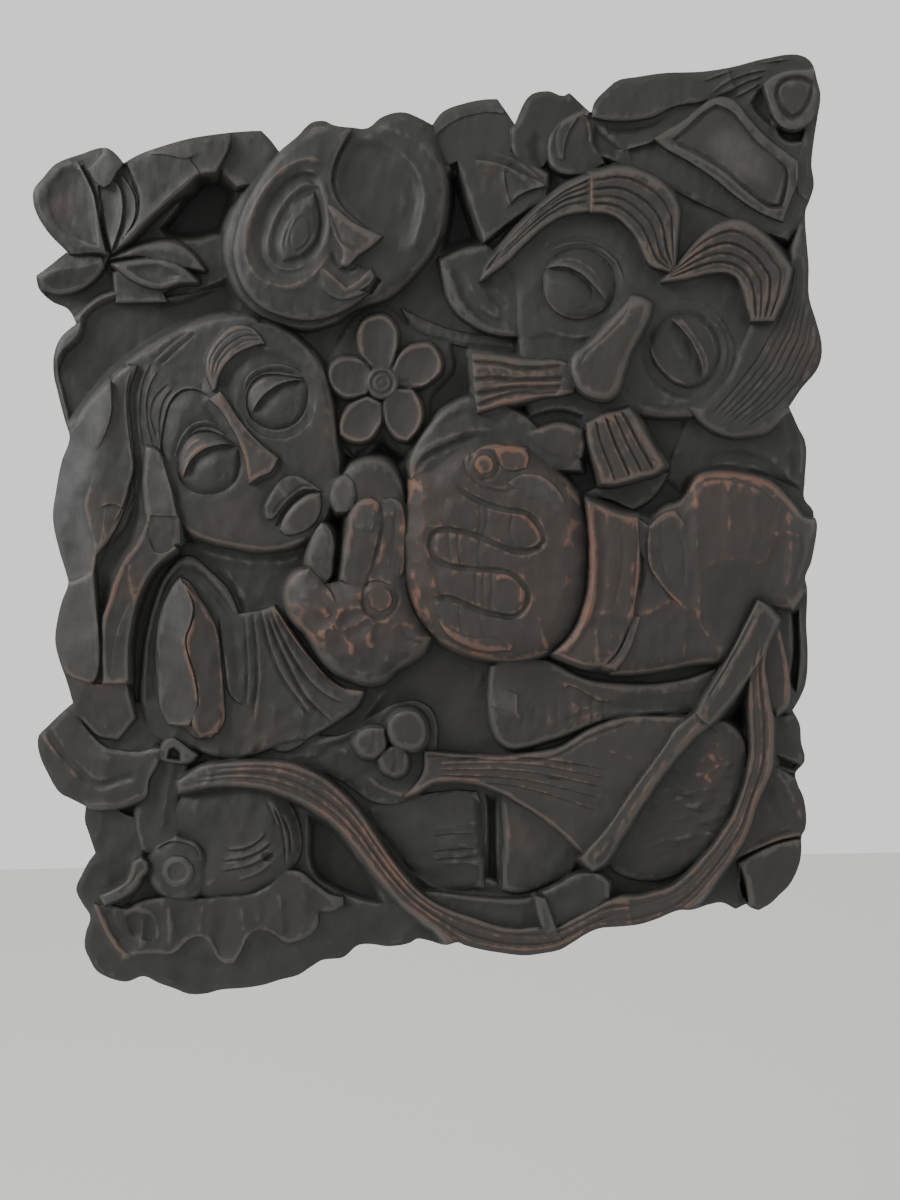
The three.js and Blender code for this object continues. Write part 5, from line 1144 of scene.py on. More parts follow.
def carve_sleeve(wood):
    """The jester's arm: cuff, sleeve in broad facets, and the back shoulder above."""
    wood.form([(128, 24), (136, 42), (142, 60), (158, 50), (180, 48), (194, 62), (206, 66), (212, 45),
               (212, 8), (190, 22), (168, 26), (150, 26), (138, 14)], 29, roll=(4, 2.4), cuts=(12, 0.75, 1.4, 20, 6))
    wood.crest([(146, 56), (158, 44), (176, 40), (192, 30), (200, 16)], 6, 1.6)
    wood.groove([(150, 32), (168, 34), (186, 28), (202, 12)], 4, 1.8, 0.1, False)
    wood.groove([(196, 58), (200, 40), (201, 20)], 4, 2.2, 0.1, False)
    wood.form([(84, 14), (100, 12), (112, 6), (122, 12), (132, 26), (120, 24), (104, 20), (92, 18)], 34,
              roll=(2.5, 1.1), cuts=(9, 0.6))
    sleeve = [(112, 3), (122, 1), (130, 7), (138, 10), (142, 15), (145, 20), (149, 24.5), (158, 25.5),
              (168, 24.5), (176, 23), (184, 20.5), (190, 17), (195, 11), (200, 5), (206, -1), (217, -2),
              (217, -14), (212, -28), (206, -40), (200, -50), (190, -48), (182, -46), (176, -56), (170, -68),
              (163, -78), (157, -79), (148, -79), (130, -82), (112, -84), (100, -84), (96, -70), (104, -48),
              (114, -30)]
    wood.form(sleeve, 45, lean=(-0.02, 0.01), roll=(9, 5.5), crown=3, cuts=(18, 1.0, 1.3, 80, 13), warm=0.5)
    wood.tint([(146, 22), (150, -20), (182, -22), (200, -4), (186, 18), (168, 24)], warm=0.85)
    wood.tint([(150, -26), (168, -24), (186, -30), (184, -46), (166, -72), (158, -64), (152, -48)], warm=0.1)
    wood.tint([(200, 0), (214, -6), (210, -30), (198, -44), (190, -30), (198, -14)], warm=0.2, pale=0.3)
    ridges = [
        ([(145, 22), (146.5, 10), (147, -5), (147.5, -20), (149, -36), (148, -50)], 7, 2.0, 1.0),
        ([(150, -29), (156, -23.5), (165, -22), (175, -22), (184, -25)], 5, 1.4, 1.0),
        ([(164, 24), (164.5, 8), (165, -6), (164, -21)], 6, 1.3, 0.7),
        ([(178, 21), (179, 6), (179, -8), (175, -21)], 6, 1.3, 0.6),
        ([(190, 15), (192, 4), (190, -9), (184, -25)], 5, 1.2, 0.7),
        ([(190, -9), (197, -8), (204, -10)], 4, 1.1, 1.0),
        ([(197, 4), (198, -9), (199, -22), (196, -38)], 5, 1.4, 0.8),
        ([(156, 25), (170, 24), (184, 20), (194, 12), (203, 2)], 4, 1.5, 0.9),
        ([(142, 15), (145, 20), (149, 24)], 4, 1.5, 1.0),
        ([(114, -52), (122, -50), (128, -47), (134, -43.5), (138, -46.5), (143, -49), (148, -50),
          (149, -57), (153, -63), (158, -68)], 6, 1.8, 1.0),
        ([(128, -50), (129, -64), (128, -80)], 4, 0.9, 0.5),
        ([(140, -48), (141, -62), (140, -78)], 4, 0.8, 0.4),
    ]
    for path, width, rise, tone in ridges:
        wood.crest(path, 0.6 * width, 0.8 * rise, 0.06, warm=tone)
    wood.groove([(147, 17), (152, 21.5), (160, 22), (170, 20.5), (178, 18), (185, 13), (191, 6)], 1.6, 1.1)
    wood.groove([(204, -4), (205.5, -16), (203, -27), (199, -38)], 2.4, 1.4)
    # The cuff: a broad band with a worn front edge, then a second, leaf-shaped band.
    second = [(113, 2), (121, -3), (130, 4), (135, 5), (141, -2), (145, -14), (146, -30), (143, -46),
              (136, -47), (130, -42), (124, -34), (120, -24), (115, -14)]
    wood.form(second, 47.6, lean=(0.02, 0), roll=(1.2, 0.7), cuts=(14, 0.5), warm=0.4)
    wood.lap([(121, -3), (120, -14), (121, -25), (126, -33.5), (133, -42), (139, -47)], 1.8, 4.5, 1.5, side=1,
             warm=0.8)
    wood.groove([(128, 4), (127.5, -10), (128.5, -24), (132, -35)], 1.4, 0.7)
    wood.groove([(130, 6), (135, -2), (139.5, -14), (140.5, -28), (140.5, -42)], 1.4, 0.7)
    cuff = [(87, 12), (95, 8), (105, 3.5), (114.5, 1.5), (115.5, -14), (115, -30), (113, -45), (112, -53),
            (108, -62), (103, -72), (96, -80), (86, -79.5), (76, -76), (68, -72.5), (75, -66), (81, -57),
            (85, -47), (87.5, -35), (88.5, -20), (88, -4)]
    wood.form(cuff, 50.5, lean=(0.0, 0), roll=(1.2, 0.7), crown=1, cuts=(13, 0.68, 1.6, 85, 3), warm=0.8)
    wood.crest([(88, 9), (89.5, 0), (90.7, -12), (90.8, -25), (90.2, -36), (88.5, -46), (85, -56), (80, -65),
                (74, -71)], 3.2, 2.4, 0.02, warm=1.0)
    wood.groove([(94, 6), (95.5, -10), (95.5, -28), (93, -46), (88, -60)], 3, 1.2, 0.06, False)
    wood.groove([(105, 3), (106.5, -10), (106, -26), (103, -42), (100, -54)], 1.4, 0.8)
    wood.groove([(113.5, 1), (114, -14), (113.5, -30), (112, -46)], 1.6, 1.0, 0.03)
    wood.crest([(91, -58), (92, -68), (92, -79)], 3, 1.2, 0.1, warm=1.0)
    wood.crest([(90, -52), (98, -50), (106, -53), (113, -52)], 4, 1.4, 0.06, warm=0.9)
    wood.crest([(99, -52), (100, -62), (98, -74)], 3, 0.9, 0.1, warm=0.8)
    wood.form([(95, -80.5), (100, -77), (105, -71), (109, -62), (113, -52), (116, -53), (113, -64), (108, -75),
               (102, -82)], 50, roll=(0.9, 0.6), warm=0.4, pale=0.3)
    wood.tint([(92, -53), (112, -53), (144, -50), (158, -68), (154, -80), (100, -84), (88, -78)], warm=0.45)
    wood.crest([(67, -73.5), (75, -77), (85, -81), (93, -84), (105, -85.5), (118, -85.5), (131, -83.5),
                (144, -80.5), (158, -78)], 3.4, 1.8, 0.03, warm=0.3)
    # Behind the sleeve, at the right side of the block.
    wood.form([(186, -50), (196, -46), (212, -36), (213, -76), (212, -104), (204, -110), (194, -108),
               (188, -80)], 30, roll=(1.9, 1.1), cuts=(12, 0.9, 1.4, 85, 5))
    strip = [(183, -75), (187, -67), (192, -57), (195, -70), (198, -84), (198, -104), (192, -110), (188, -100)]
    wood.form(strip, 36, roll=(1.2, 0.8), cuts=(8, 0.45), warm=0.35)
    wood.crest([(191.5, -60), (194.5, -70), (196.8, -82), (197, -95), (196, -104)], 2.4, 1.3, warm=1.0)
    wood.sink([(199, -52), (204, -50), (205, -80), (203, -98), (199, -92), (200, -74)], floor=19, soft=2.5)


def carve_instrument(wood):
    """The stringed instrument held between the two figures, and the cloth above it."""
    wood.form([(-42, -98), (-26, -84), (-6, -70), (8, -66), (25, -73), (33, -80), (34, -110), (38, -127),
               (0, -126), (-6, -100), (-24, -100)], 25, roll=(4, 1.6), cuts=(10, 1.35, 2.0, 45, 5))
    wood.tint([(-20, -84), (6, -68), (30, -78), (32, -110), (6, -122), (0, -100)], warm=0.3)
    scarf = [(33, -79), (40, -76.5), (50, -76), (62, -76), (70, -79), (78, -84), (88, -88), (105, -90.5),
             (125, -91), (142, -88.5), (158, -83), (156, -89), (151, -97), (147, -106), (138, -108),
             (126, -107.5), (114, -108.5), (100, -109.5), (90, -112), (80, -116), (70, -119.5), (60, -122.5),
             (50, -125), (43, -125), (38, -122), (34.5, -117), (32.5, -108), (31.5, -98)]
    wood.form(scarf, 37, lean=(-0.03, 0.02), roll=(1.6, 0.9), cuts=(14, 0.68, 1.6, 20, 6), warm=0.2)
    wood.tint([(60, -84), (90, -90), (110, -95), (96, -108), (70, -116), (54, -104)], warm=0.5)
    wood.form([(33, -90), (47.5, -94.5), (47.5, -107), (33, -101.5)], 39.5, lean=(0, 0.05), roll=(0.6, 0.3), pale=0.6)
    wood.crest([(47, -94), (47.2, -106), (49, -110)], 2, 1, warm=0.7)
    wood.lap([(72, -93), (76, -90.5), (82, -93), (88, -97), (94, -100), (101, -100)], 0.8, 4, 1.0, 1, 4, warm=0.5)
    for k in range(9):
        wood.groove([(44 + 6.5 * k, -104 + 1.4 * k), (43.5 + 6.5 * k, -110 + k), (43 + 6.5 * k, -117 + 0.4 * k)],
                    1.7, 0.6 + 0.5 * scatter(k, 2, 5), 0.3)
    wood.groove([(36, -86), (60, -88), (84, -99), (110, -102), (140, -100)], 4, 1.2, 0.15, False)
    wood.crest([(60, -78), (74, -83), (90, -90), (110, -94), (132, -95), (150, -93)], 4, 1.2)
    wood.groove([(70, -112), (92, -104), (116, -104), (140, -103)], 2.4, 1.1)
    # Neck and head of the instrument.
    head = [(-110, -127), (-100, -123.5), (-90, -120), (-78, -117), (-68, -115.5), (-55, -117), (-45, -114),
            (-37, -108), (-29, -103), (-20, -99), (-8, -98), (0, -104), (2, -124), (0, -134), (-10, -151),
            (-22, -156), (-36, -154), (-44, -148), (-52, -142), (-62, -137), (-74, -132.5), (-88, -130),
            (-100, -129.5)]
    wood.form(head, 30, lean=(0.03, 0), roll=(1.9, 1.1), cuts=(11, 0.6, 1.6, 30, 8))
    wood.form([(-93, -121), (-80, -118), (-67, -116), (-74, -121), (-84, -125)], 33, roll=(0.9, 0.6), pale=0.4)
    wood.crest([(-70, -124), (-58, -118.5), (-46, -114), (-36, -104), (-28, -93), (-20, -82)], 4, 1.8)
    wood.groove([(-66, -128), (-54, -122), (-42, -117), (-32, -106), (-24, -95)], 4, 2.0, 0.1, False)
    wood.crest([(-84, -129), (-70, -127), (-54, -124), (-44, -128)], 3, 1.2)
    # Bodies left, middle and right of the fan of strings.
    left = [(-38, -158), (-26, -154), (-12, -152), (0, -150), (12, -149), (24, -150), (27, -160), (27, -206),
            (14, -207), (2, -205), (-12, -196), (-26, -178), (-34, -168)]
    wood.form(left, 28, lean=(0.02, 0.03), roll=(1.9, 1.1), cuts=(12, 0.68, 2.0, 5, 4))
    for v in (-174, -183, -188):
        wood.lap([(-2, v - 1), (10, v), (24, v + 0.5)], 0.6, 3, 0.9, 1, 3)
    wood.marks([(-4, -168), (24, -166), (26, -194), (4, -196)], 5, 0.9, 2.4, 3, 9)
    middle = [(38, -150), (48, -158), (58, -164), (68, -172), (78, -182), (82, -190), (76, -198), (66, -203),
              (56, -207), (46, -209), (38, -207)]
    wood.form(middle, 31, lean=(-0.03, 0), roll=(1.9, 1.1), cuts=(14, 0.75, 1.4, 60, 7), warm=0.1)
    wood.tint(oval((50, -175), 9, 12, 30), warm=0.8)
    wood.crest([(42, -158), (54, -176), (60, -192), (72, -198)], 5, 1.2)
    wood.sink([(20, -152), (40, -154), (42, -180), (38, -203), (26, -202), (22, -180)], floor=22, soft=8)
    right = [(147, -113), (155, -113), (162, -112.5), (169, -117), (174, -124), (175, -134), (173, -148),
             (168, -162), (161, -176), (152, -188), (140, -198), (126, -203), (112, -202), (100, -196),
             (96, -188), (108, -170), (120, -152), (134, -132)]
    wood.form(right, 33, lean=(0.05, 0.02), roll=(1.9, 1.1), crown=1.5, cuts=(12, 0.6, 2.2, 10, 6), warm=0.1)
    wood.tint(oval((156, -134), 8, 17, -10), warm=0.9)
    wood.tint([(120, -150), (150, -160), (160, -172), (140, -192), (110, -190)], warm=0.25)
    wood.marks([(146, -120), (170, -122), (168, -160), (150, -184), (120, -194), (112, -172), (130, -142)], 6,
               0.9, 2.2, 12, 11)
    for path in ([(159, -124), (160, -130), (162, -135)], [(153, -128), (157, -134), (159, -139)],
                 [(161, -137), (154, -142), (146, -143)], [(152, -143), (156, -148)]):
        wood.crest(path, 2.4, 1.0, 0.1, warm=1.0)
    for k in range(11):
        u, v = 126 + 3.4 * k, -137 - 4.6 * k + 9 * scatter(k, 1, 9)
        wood.groove([(u - 7, v + 2), (u, v), (u + 7, v - 2.5)], 1.4, 0.9, 0.3)
    # The fan of strings.
    fan = [(-16, -152), (-6, -138), (-5, -126), (10, -128), (25, -129.5), (40, -130.5), (52, -129), (62, -128),
           (72, -125.5), (78, -122), (86, -117), (95, -113), (105, -110), (114, -109), (128, -109.5),
           (144, -110), (134, -124), (122, -140), (108, -158), (94, -178), (86, -190), (78, -181),
           (70, -173), (62, -166.5), (55, -161.5), (47, -156.5), (40, -152), (33, -148.5), (25, -145.5),
           (15, -144), (8, -143.5), (0, -144), (-5, -146.5), (-10, -150)]
    wood.form(fan, 39.5, lean=(0.03, 0.0), roll=(1.2, 0.7), cuts=(18, 0.45, 2, -10, 6),
              warm=0.35)
    wood.tint([(70, -126), (110, -112), (138, -112), (112, -146), (94, -160), (80, -150)], warm=0.5)
    wood.crest([(-38, -139.5), (-31, -145.5), (-21, -150), (-13, -150.5), (-5, -146.5), (0, -144), (8, -143.3),
                (15, -143.5), (25, -145), (33, -148.5), (41, -152), (48, -157), (56, -162.5), (63, -168),
                (71, -175), (79, -183), (84, -188)], 2.6, 1.6, 0.03, warm=0.6)
    ends = [(100, -139), (99, -144), (98.5, -149.5), (97, -156), (94, -163)]
    starts = [(-2, -131), (-1, -134), (0, -137), (1, -140), (4, -142)]
    for start, end in zip(starts, ends):
        bend = ((start[0] + end[0]) / 2, (start[1] + end[1]) / 2 + 4.5)
        wood.lap([start, bend, end], 0.5, 2.2, 0.9, 1, 2, 0.1, warm=0.8)
        for k in range(3):
            part = 0.35 + 0.6 * scatter(k, start[1], 3)
            u, v = start[0] + (end[0] - start[0]) * part, start[1] + (end[1] - start[1]) * part + 1
            wood.groove([(u, v + 1.2), (u + 8, v + 0.4), (u + 15, v - 0.6)], 1.2, 0.5, 0.3)
    wood.groove([(-4, -128.5), (20, -131), (45, -132.5), (70, -130), (88, -120), (110, -112.5)], 1.8, 1.5, 0.04)
    wood.crest([(98, -128), (105, -130), (112, -133.5)], 1.8, 0.8, warm=0.8)
    # The long bar that crosses it.
    bar = [(181, -45), (186, -48), (192, -56), (188, -66), (183, -77), (176, -88), (169, -98), (162, -107),
           (155, -114), (147, -120), (139, -129), (130, -140), (121, -153), (112, -167), (103, -181),
           (96, -192), (89, -197), (82, -190), (88, -183), (97, -173), (105, -161), (113, -149), (121, -138),
           (129, -127), (136, -116), (142, -111), (147, -107), (152, -98), (157, -90), (163, -80),
           (169, -69), (175, -57)]
    wood.form(bar, 46, roll=(0.9, 0.4), cuts=(12, 0.5, 2, 60, 5), warm=0.25)
    centre = [(184, -48), (178, -61), (171, -74), (165, -86), (158, -98), (151, -110), (143, -120), (134, -130),
              (125, -142), (116, -155), (107, -168), (98, -181), (89, -191)]
    wood.crest(centre, 4, 1.5, 0.03, warm=0.5)
    wood.groove([(180, -52), (173, -66), (166, -79), (159, -91), (152, -102)], 1.4, 1.2)
    wood.lap([(145.5, -106), (149, -110.5), (156, -116)], 1.2, 6, 1.4, 1, 8, 0.02, warm=0.2)
    # Three tuning pegs.
    pegs = [
        ([(-27, -113), (-27, -124), (-33, -129.5), (-40, -128), (-44.5, -121), (-41, -115), (-35, -112.5)], 46),
        ([(-25, -124), (-20, -123), (-16, -125.5), (-14.5, -133), (-17, -138.5), (-22, -140.5), (-28, -137.5),
          (-31, -131), (-29, -127)], 44),
        ([(-20.5, -105), (-14, -103), (-8, -105), (-4.5, -111), (-4.5, -119), (-8, -124), (-14, -125),
          (-21, -122), (-24.5, -116), (-24, -109)], 51),
    ]
    for outline, level in pegs:
        wood.form(outline, level, lean=(0.03, 0.05), roll=(1.2, 0.8), crown=0.8, warm=0.12)
    wood.groove([(-33, -113), (-33, -121), (-36, -128)], 1.3, 0.8)
    wood.groove([(-22, -124), (-21, -131), (-23, -139)], 1.3, 0.8)


def carve_ribbon(wood):
    """The long ribbon under the instrument, worn along its edges."""
    wood.form([(-16, -206), (0, -208), (20, -211), (40, -213), (52, -212.5), (62, -209), (72, -204), (84, -199),
               (98, -202), (99, -214), (84, -224), (60, -233), (30, -230), (6, -222)], 36, roll=(1.9, 1.1),
              cuts=(14, 0.38, 2, 0, 4))
    wood.crest([(-12, -197), (0, -205.5), (15, -209.5), (32, -212), (50, -213), (60, -209.5), (72, -203.5)], 3.4,
               2.0, 0.05)
    wood.form([(60, -209), (69, -205), (80, -199), (92, -199), (98, -204), (98, -213), (91, -219), (80, -224),
               (68, -231)], 41, lean=(0.05, 0.05), roll=(1.2, 0.6), cuts=(10, 0.52))
    wood.form([(89, -203), (95, -202), (98, -206), (97, -212), (91, -210)], 42, roll=(0.9, 0.6), pale=0.5)
    top = [(-118, -131), (-105, -130.5), (-95, -130.5), (-86, -131), (-78, -132.5), (-70, -136), (-62, -140.5),
           (-55, -146), (-48, -153), (-42, -160.5), (-36, -170), (-30, -180.5), (-22, -192.5), (-12, -205),
           (-1, -214), (10, -219.5), (21, -223.5), (35, -228.5), (46, -230.5), (57, -229.5), (68, -230),
           (78, -225), (88, -220), (98, -215), (110, -213.5)]
    low = [(-143, -147), (-130, -144.5), (-118, -143.5), (-105, -144.3), (-95, -146), (-85, -149.3), (-75, -154),
           (-65, -160.3), (-56, -167.5), (-48, -177), (-40, -188), (-33, -198), (-26, -207), (-18, -216),
           (-8, -224.5), (0, -230), (8, -240), (20, -245), (35, -248), (50, -250), (60, -249), (72, -246),
           (86, -238), (96, -234), (112, -232)]
    wood.form([(-128, -132)] + top + low[::-1] + [(-144, -141)], 43.5, roll=(1.4, 0.8),
              cuts=(14, 0.3, 2.5, -40, 4), warm=0.5)
    strands(wood, top, low, 4, 1.1, 1.7, 0.03)
    for part, tone in ((0.06, 0.5), (0.3, 0.9), (0.62, 1.0), (0.9, 0.7)):
        wood.crest(between(top, low, part), 1.3, 0.5, 0.03, warm=tone)
    wood.tint([(-62, -142), (-36, -172), (-14, -206), (-20, -214), (-44, -180), (-66, -156)], warm=0.85)
    wood.tint([(-148, -140), (-126, -128), (-112, -131), (-116, -144), (-140, -148)], warm=0.15, pale=0.3)
    wood.crest([(-127, -133), (-126, -139), (-130, -145)], 2.4, 1.2, warm=0.4)
    wood.form([(56, -211), (62, -213), (65, -222), (68.5, -232), (71, -237), (66, -238), (62, -234), (58, -222)],
              44.8, roll=(1.2, 0.7), pale=0.35)
    # The part that climbs on the right.
    inner = [(96, -215), (105, -212.5), (115, -212.5), (125, -210), (133, -207.5), (143, -200), (151, -191),
             (158, -183), (163, -175), (168, -167), (171.5, -158), (174.5, -149), (176.5, -139.5), (178, -130),
             (177.5, -118), (176.5, -105), (176.5, -92), (177.5, -80), (180, -70)]
    outer = [(94, -234), (105, -233), (115, -232), (126, -229), (136, -225), (144, -220.5), (152, -212),
             (159, -203.5), (165, -195.5), (171, -186.5), (176, -177), (179, -168), (181, -160), (185, -151),
             (188, -144), (189.5, -137), (190, -128), (190, -115), (188.5, -105), (186.5, -92), (185, -80),
             (187, -68)]
    wood.form(inner + outer[::-1], 42.5, roll=(1.2, 0.8), cuts=(14, 0.3, 2.5, 60, 4),
              warm=0.5)
    strands(wood, inner, outer, 3, 1.1, 1.7, 0.03)
    for part, tone in ((0.05, 0.6), (0.5, 1.0), (0.88, 0.9)):
        wood.crest(between(inner, outer, part), 1.3, 0.5, 0.03, warm=tone)


def carve_lower_left(wood):
    """Bottom left: a bulging cap over a frilled ruff, with a boss beside it."""
    wood.form([(-196, -153), (-200, -166), (-196, -181), (-208, -202), (-204, -222), (-180, -216), (-166, -194),
               (-162, -160), (-166, -150), (-180, -152)], 29, roll=(2.5, 1.7), cuts=(11, 0.98, 1.3, 30, 4))
    wood.sink([(-180, -156), (-164, -151), (-162, -158), (-170, -161)], floor=22, soft=3)
    wood.form([(-168, -156), (-162, -148), (-160, -140), (-157, -134), (-154, -128), (-152, -121), (-146, -118),
               (-138, -124), (-138, -134), (-144, -150), (-144, -172), (-152, -186), (-166, -180)], 33,
              roll=(1.9, 1.1), cuts=(9, 0.68, 1.6, 70, 5))
    wood.crest([(-162, -150), (-160, -140), (-157, -134), (-154, -126)], 3, 1.6)
    wood.crest([(-146, -128), (-149, -142), (-152, -156), (-154, -170)], 4, 1.4)
    base = [(-196, -214), (-204, -222), (-206, -240), (-198, -256), (-180, -262), (-168, -260), (-143, -272),
            (-110, -268), (-76, -260), (-52, -250), (-30, -245), (-14, -244), (10, -243), (-4, -228),
            (-20, -214), (-40, -214), (-70, -212), (-150, -214)]
    wood.form(base, 28, lean=(-0.02, 0.04), roll=(4.8, 2.4), cuts=(15, 1.3, 1.2, 15, 9))
    for path in ([(-186, -240), (-160, -247), (-130, -252), (-100, -250), (-72, -244)],
                 [(-176, -250), (-145, -258), (-110, -257), (-80, -251)]):
        wood.crest(path, 7, 1.6, 0.1)
    ruff = [(-194, -211), (-184, -212), (-176, -214), (-168, -210), (-155, -208), (-138, -209), (-122, -208),
            (-106, -207), (-95, -202), (-85, -193), (-76, -195), (-68, -202), (-60, -208), (-53, -210),
            (-53, -214), (-58, -217), (-67, -218), (-68, -226), (-72, -231), (-78, -234), (-86, -235.5),
            (-92, -231), (-98, -228), (-103, -228), (-108, -232), (-112, -240), (-116, -247), (-122, -247),
            (-126, -243), (-129, -236), (-133, -231), (-138, -231), (-143, -234), (-147, -238), (-153, -241),
            (-160, -240.5), (-168, -240.5), (-178, -243), (-184, -236), (-188, -229), (-191, -221)]
    wood.form(ruff, 33, lean=(0.0, 0.03), roll=(1.6, 1.1), cuts=(13, 0.8, 1.2, 80, 6), slope=4, warm=0.1)
    wood.crest([(-179, -243), (-169, -240.5), (-160, -240.5), (-152, -241), (-147, -238), (-143, -234),
                (-138, -231.5), (-133, -231.5), (-129, -236), (-126, -243), (-122, -247), (-116, -246.5),
                (-112, -240), (-108, -232.5), (-103, -228.5), (-98, -228.5), (-92, -231.5)], 2.6, 1.6, 0.02,
               warm=0.35)
    for u, top, foot, turn in ((-176, -222, -238, -4), (-160, -218, -236, 2), (-143, -216, -230, 2),
                               (-122, -216, -242, 1), (-101, -212, -225, 2), (-82, -206, -230, 6),
                               (-68, -208, -222, 5)):
        wood.scoop((u, (top + foot) / 2), 7.5, (top - foot) / 2 + 3, 2.0, turn * -2)
    for path in ([(-100, -212), (-101, -218), (-102, -224)], [(-111, -214), (-110.5, -221), (-110, -229)],
                 [(-133, -212), (-134, -221), (-136, -230)], [(-152, -212), (-152, -226), (-153, -239)],
                 [(-90, -206), (-88, -218), (-88, -231)], [(-168, -214), (-168, -228), (-170, -239)]):
        wood.crest(path, 3, 1.3, 0.15, warm=0.25)
    wood.crest([(-194, -212), (-190.5, -222), (-187, -230), (-182.5, -237), (-178, -243)], 3.4, 2.0, 0.03, warm=0.8)
    wood.groove([(-187, -214), (-184, -224), (-180, -233)], 3, 1.6, 0.1, False)
    # The bulging cap.
    cap = [(-144, -151), (-137, -146.5), (-128, -144), (-116, -143), (-104, -143.5), (-94, -146), (-86, -149),
           (-80.5, -156), (-77, -165), (-75.5, -174), (-76, -182), (-79, -189), (-84, -194.5), (-92, -200),
           (-102, -205), (-116, -208), (-130, -208), (-138, -204), (-136, -194), (-134, -182), (-140, -176),
           (-146, -170), (-147, -160)]
    wood.form(cap, 36, roll=(13, 6), crown=4, cuts=(13, 0.8, 1.5, 80, 5), slope=4, warm=0.08)
    for start in (-138, -128, -118, -108, -98):
        wood.groove([(start, -150), (start - 2, -160), (start - 3, -171)], 4.5, 0.7, 0.25)
    for path, tone in (([(-90, -156), (-86, -168), (-84.5, -180), (-85, -190)], 0.7),
                       ([(-86, -160), (-82, -172), (-81.5, -184)], 0.5),
                       ([(-94, -153), (-91, -160), (-89, -168)], 0.4)):
        wood.lap(path, 1.4, 4, 1.4, side=1, warm=tone)
    for path in ([(-118, -181), (-108, -180), (-100, -176), (-95, -171)],
                 [(-121, -187), (-109, -185.5), (-99, -181.5), (-92, -176)],
                 [(-122, -193), (-109, -191), (-99, -187), (-91, -182)],
                 [(-112, -199), (-101, -195), (-92, -189)]):
        wood.lap(path, 1.5, 4.5, 1.6, side=1)
    wood.scoop((-95, -185), 4, 3, 3)
    # A collar with a round boss, and the curl beside it.
    collar = [(-157, -178), (-150, -174.5), (-146, -172), (-141, -174), (-136.5, -175), (-133, -178), (-130.5, -183),
              (-130, -190), (-131, -200), (-137, -207), (-147, -209), (-157, -204), (-162, -195), (-161, -185)]
    wood.form(collar, 38.5, roll=(6, 4), cuts=(9, 0.6), slope=3)
    wood.lap([(-158, -180), (-150, -175.5), (-142, -176), (-135, -180), (-133, -186)], 0.9, 4, 2, 1, 7, 0.1)
    wood.form(oval((-146, -193), 9, 9), 41.5, roll=(2.6, 1.4), slope=3, pale=0.35)
    wood.sink(oval((-146, -193), 6.4, 6.4), 1.8, soft=2.4)
    wood.crest(oval((-146, -193), 3.4, 3.4), 1.6, 0.5, closed=True)
    curl = [(-170, -186.5), (-166, -184.5), (-163, -187), (-163, -191.5), (-166.5, -195), (-168.5, -199),
            (-172, -203), (-178, -207), (-188, -211), (-190, -206), (-181, -202), (-175, -198), (-172, -192)]
    wood.form(curl, 41, roll=(1.2, 0.9), warm=0.3)
    wood.groove([(-168, -190), (-172, -198), (-180, -204)], 1.2, 0.8)
    wood.sink([(-178, -218), (-172, -215), (-165, -216), (-161, -220), (-159.5, -228), (-161, -234),
               (-168, -234), (-175, -230)], 1.0, soft=3, bowl=3.0)
    wood.crest([(-178.5, -218), (-172, -214.5), (-165, -215.5), (-160.5, -219.5), (-159, -227), (-160, -234)],
               2.2, 1.2)


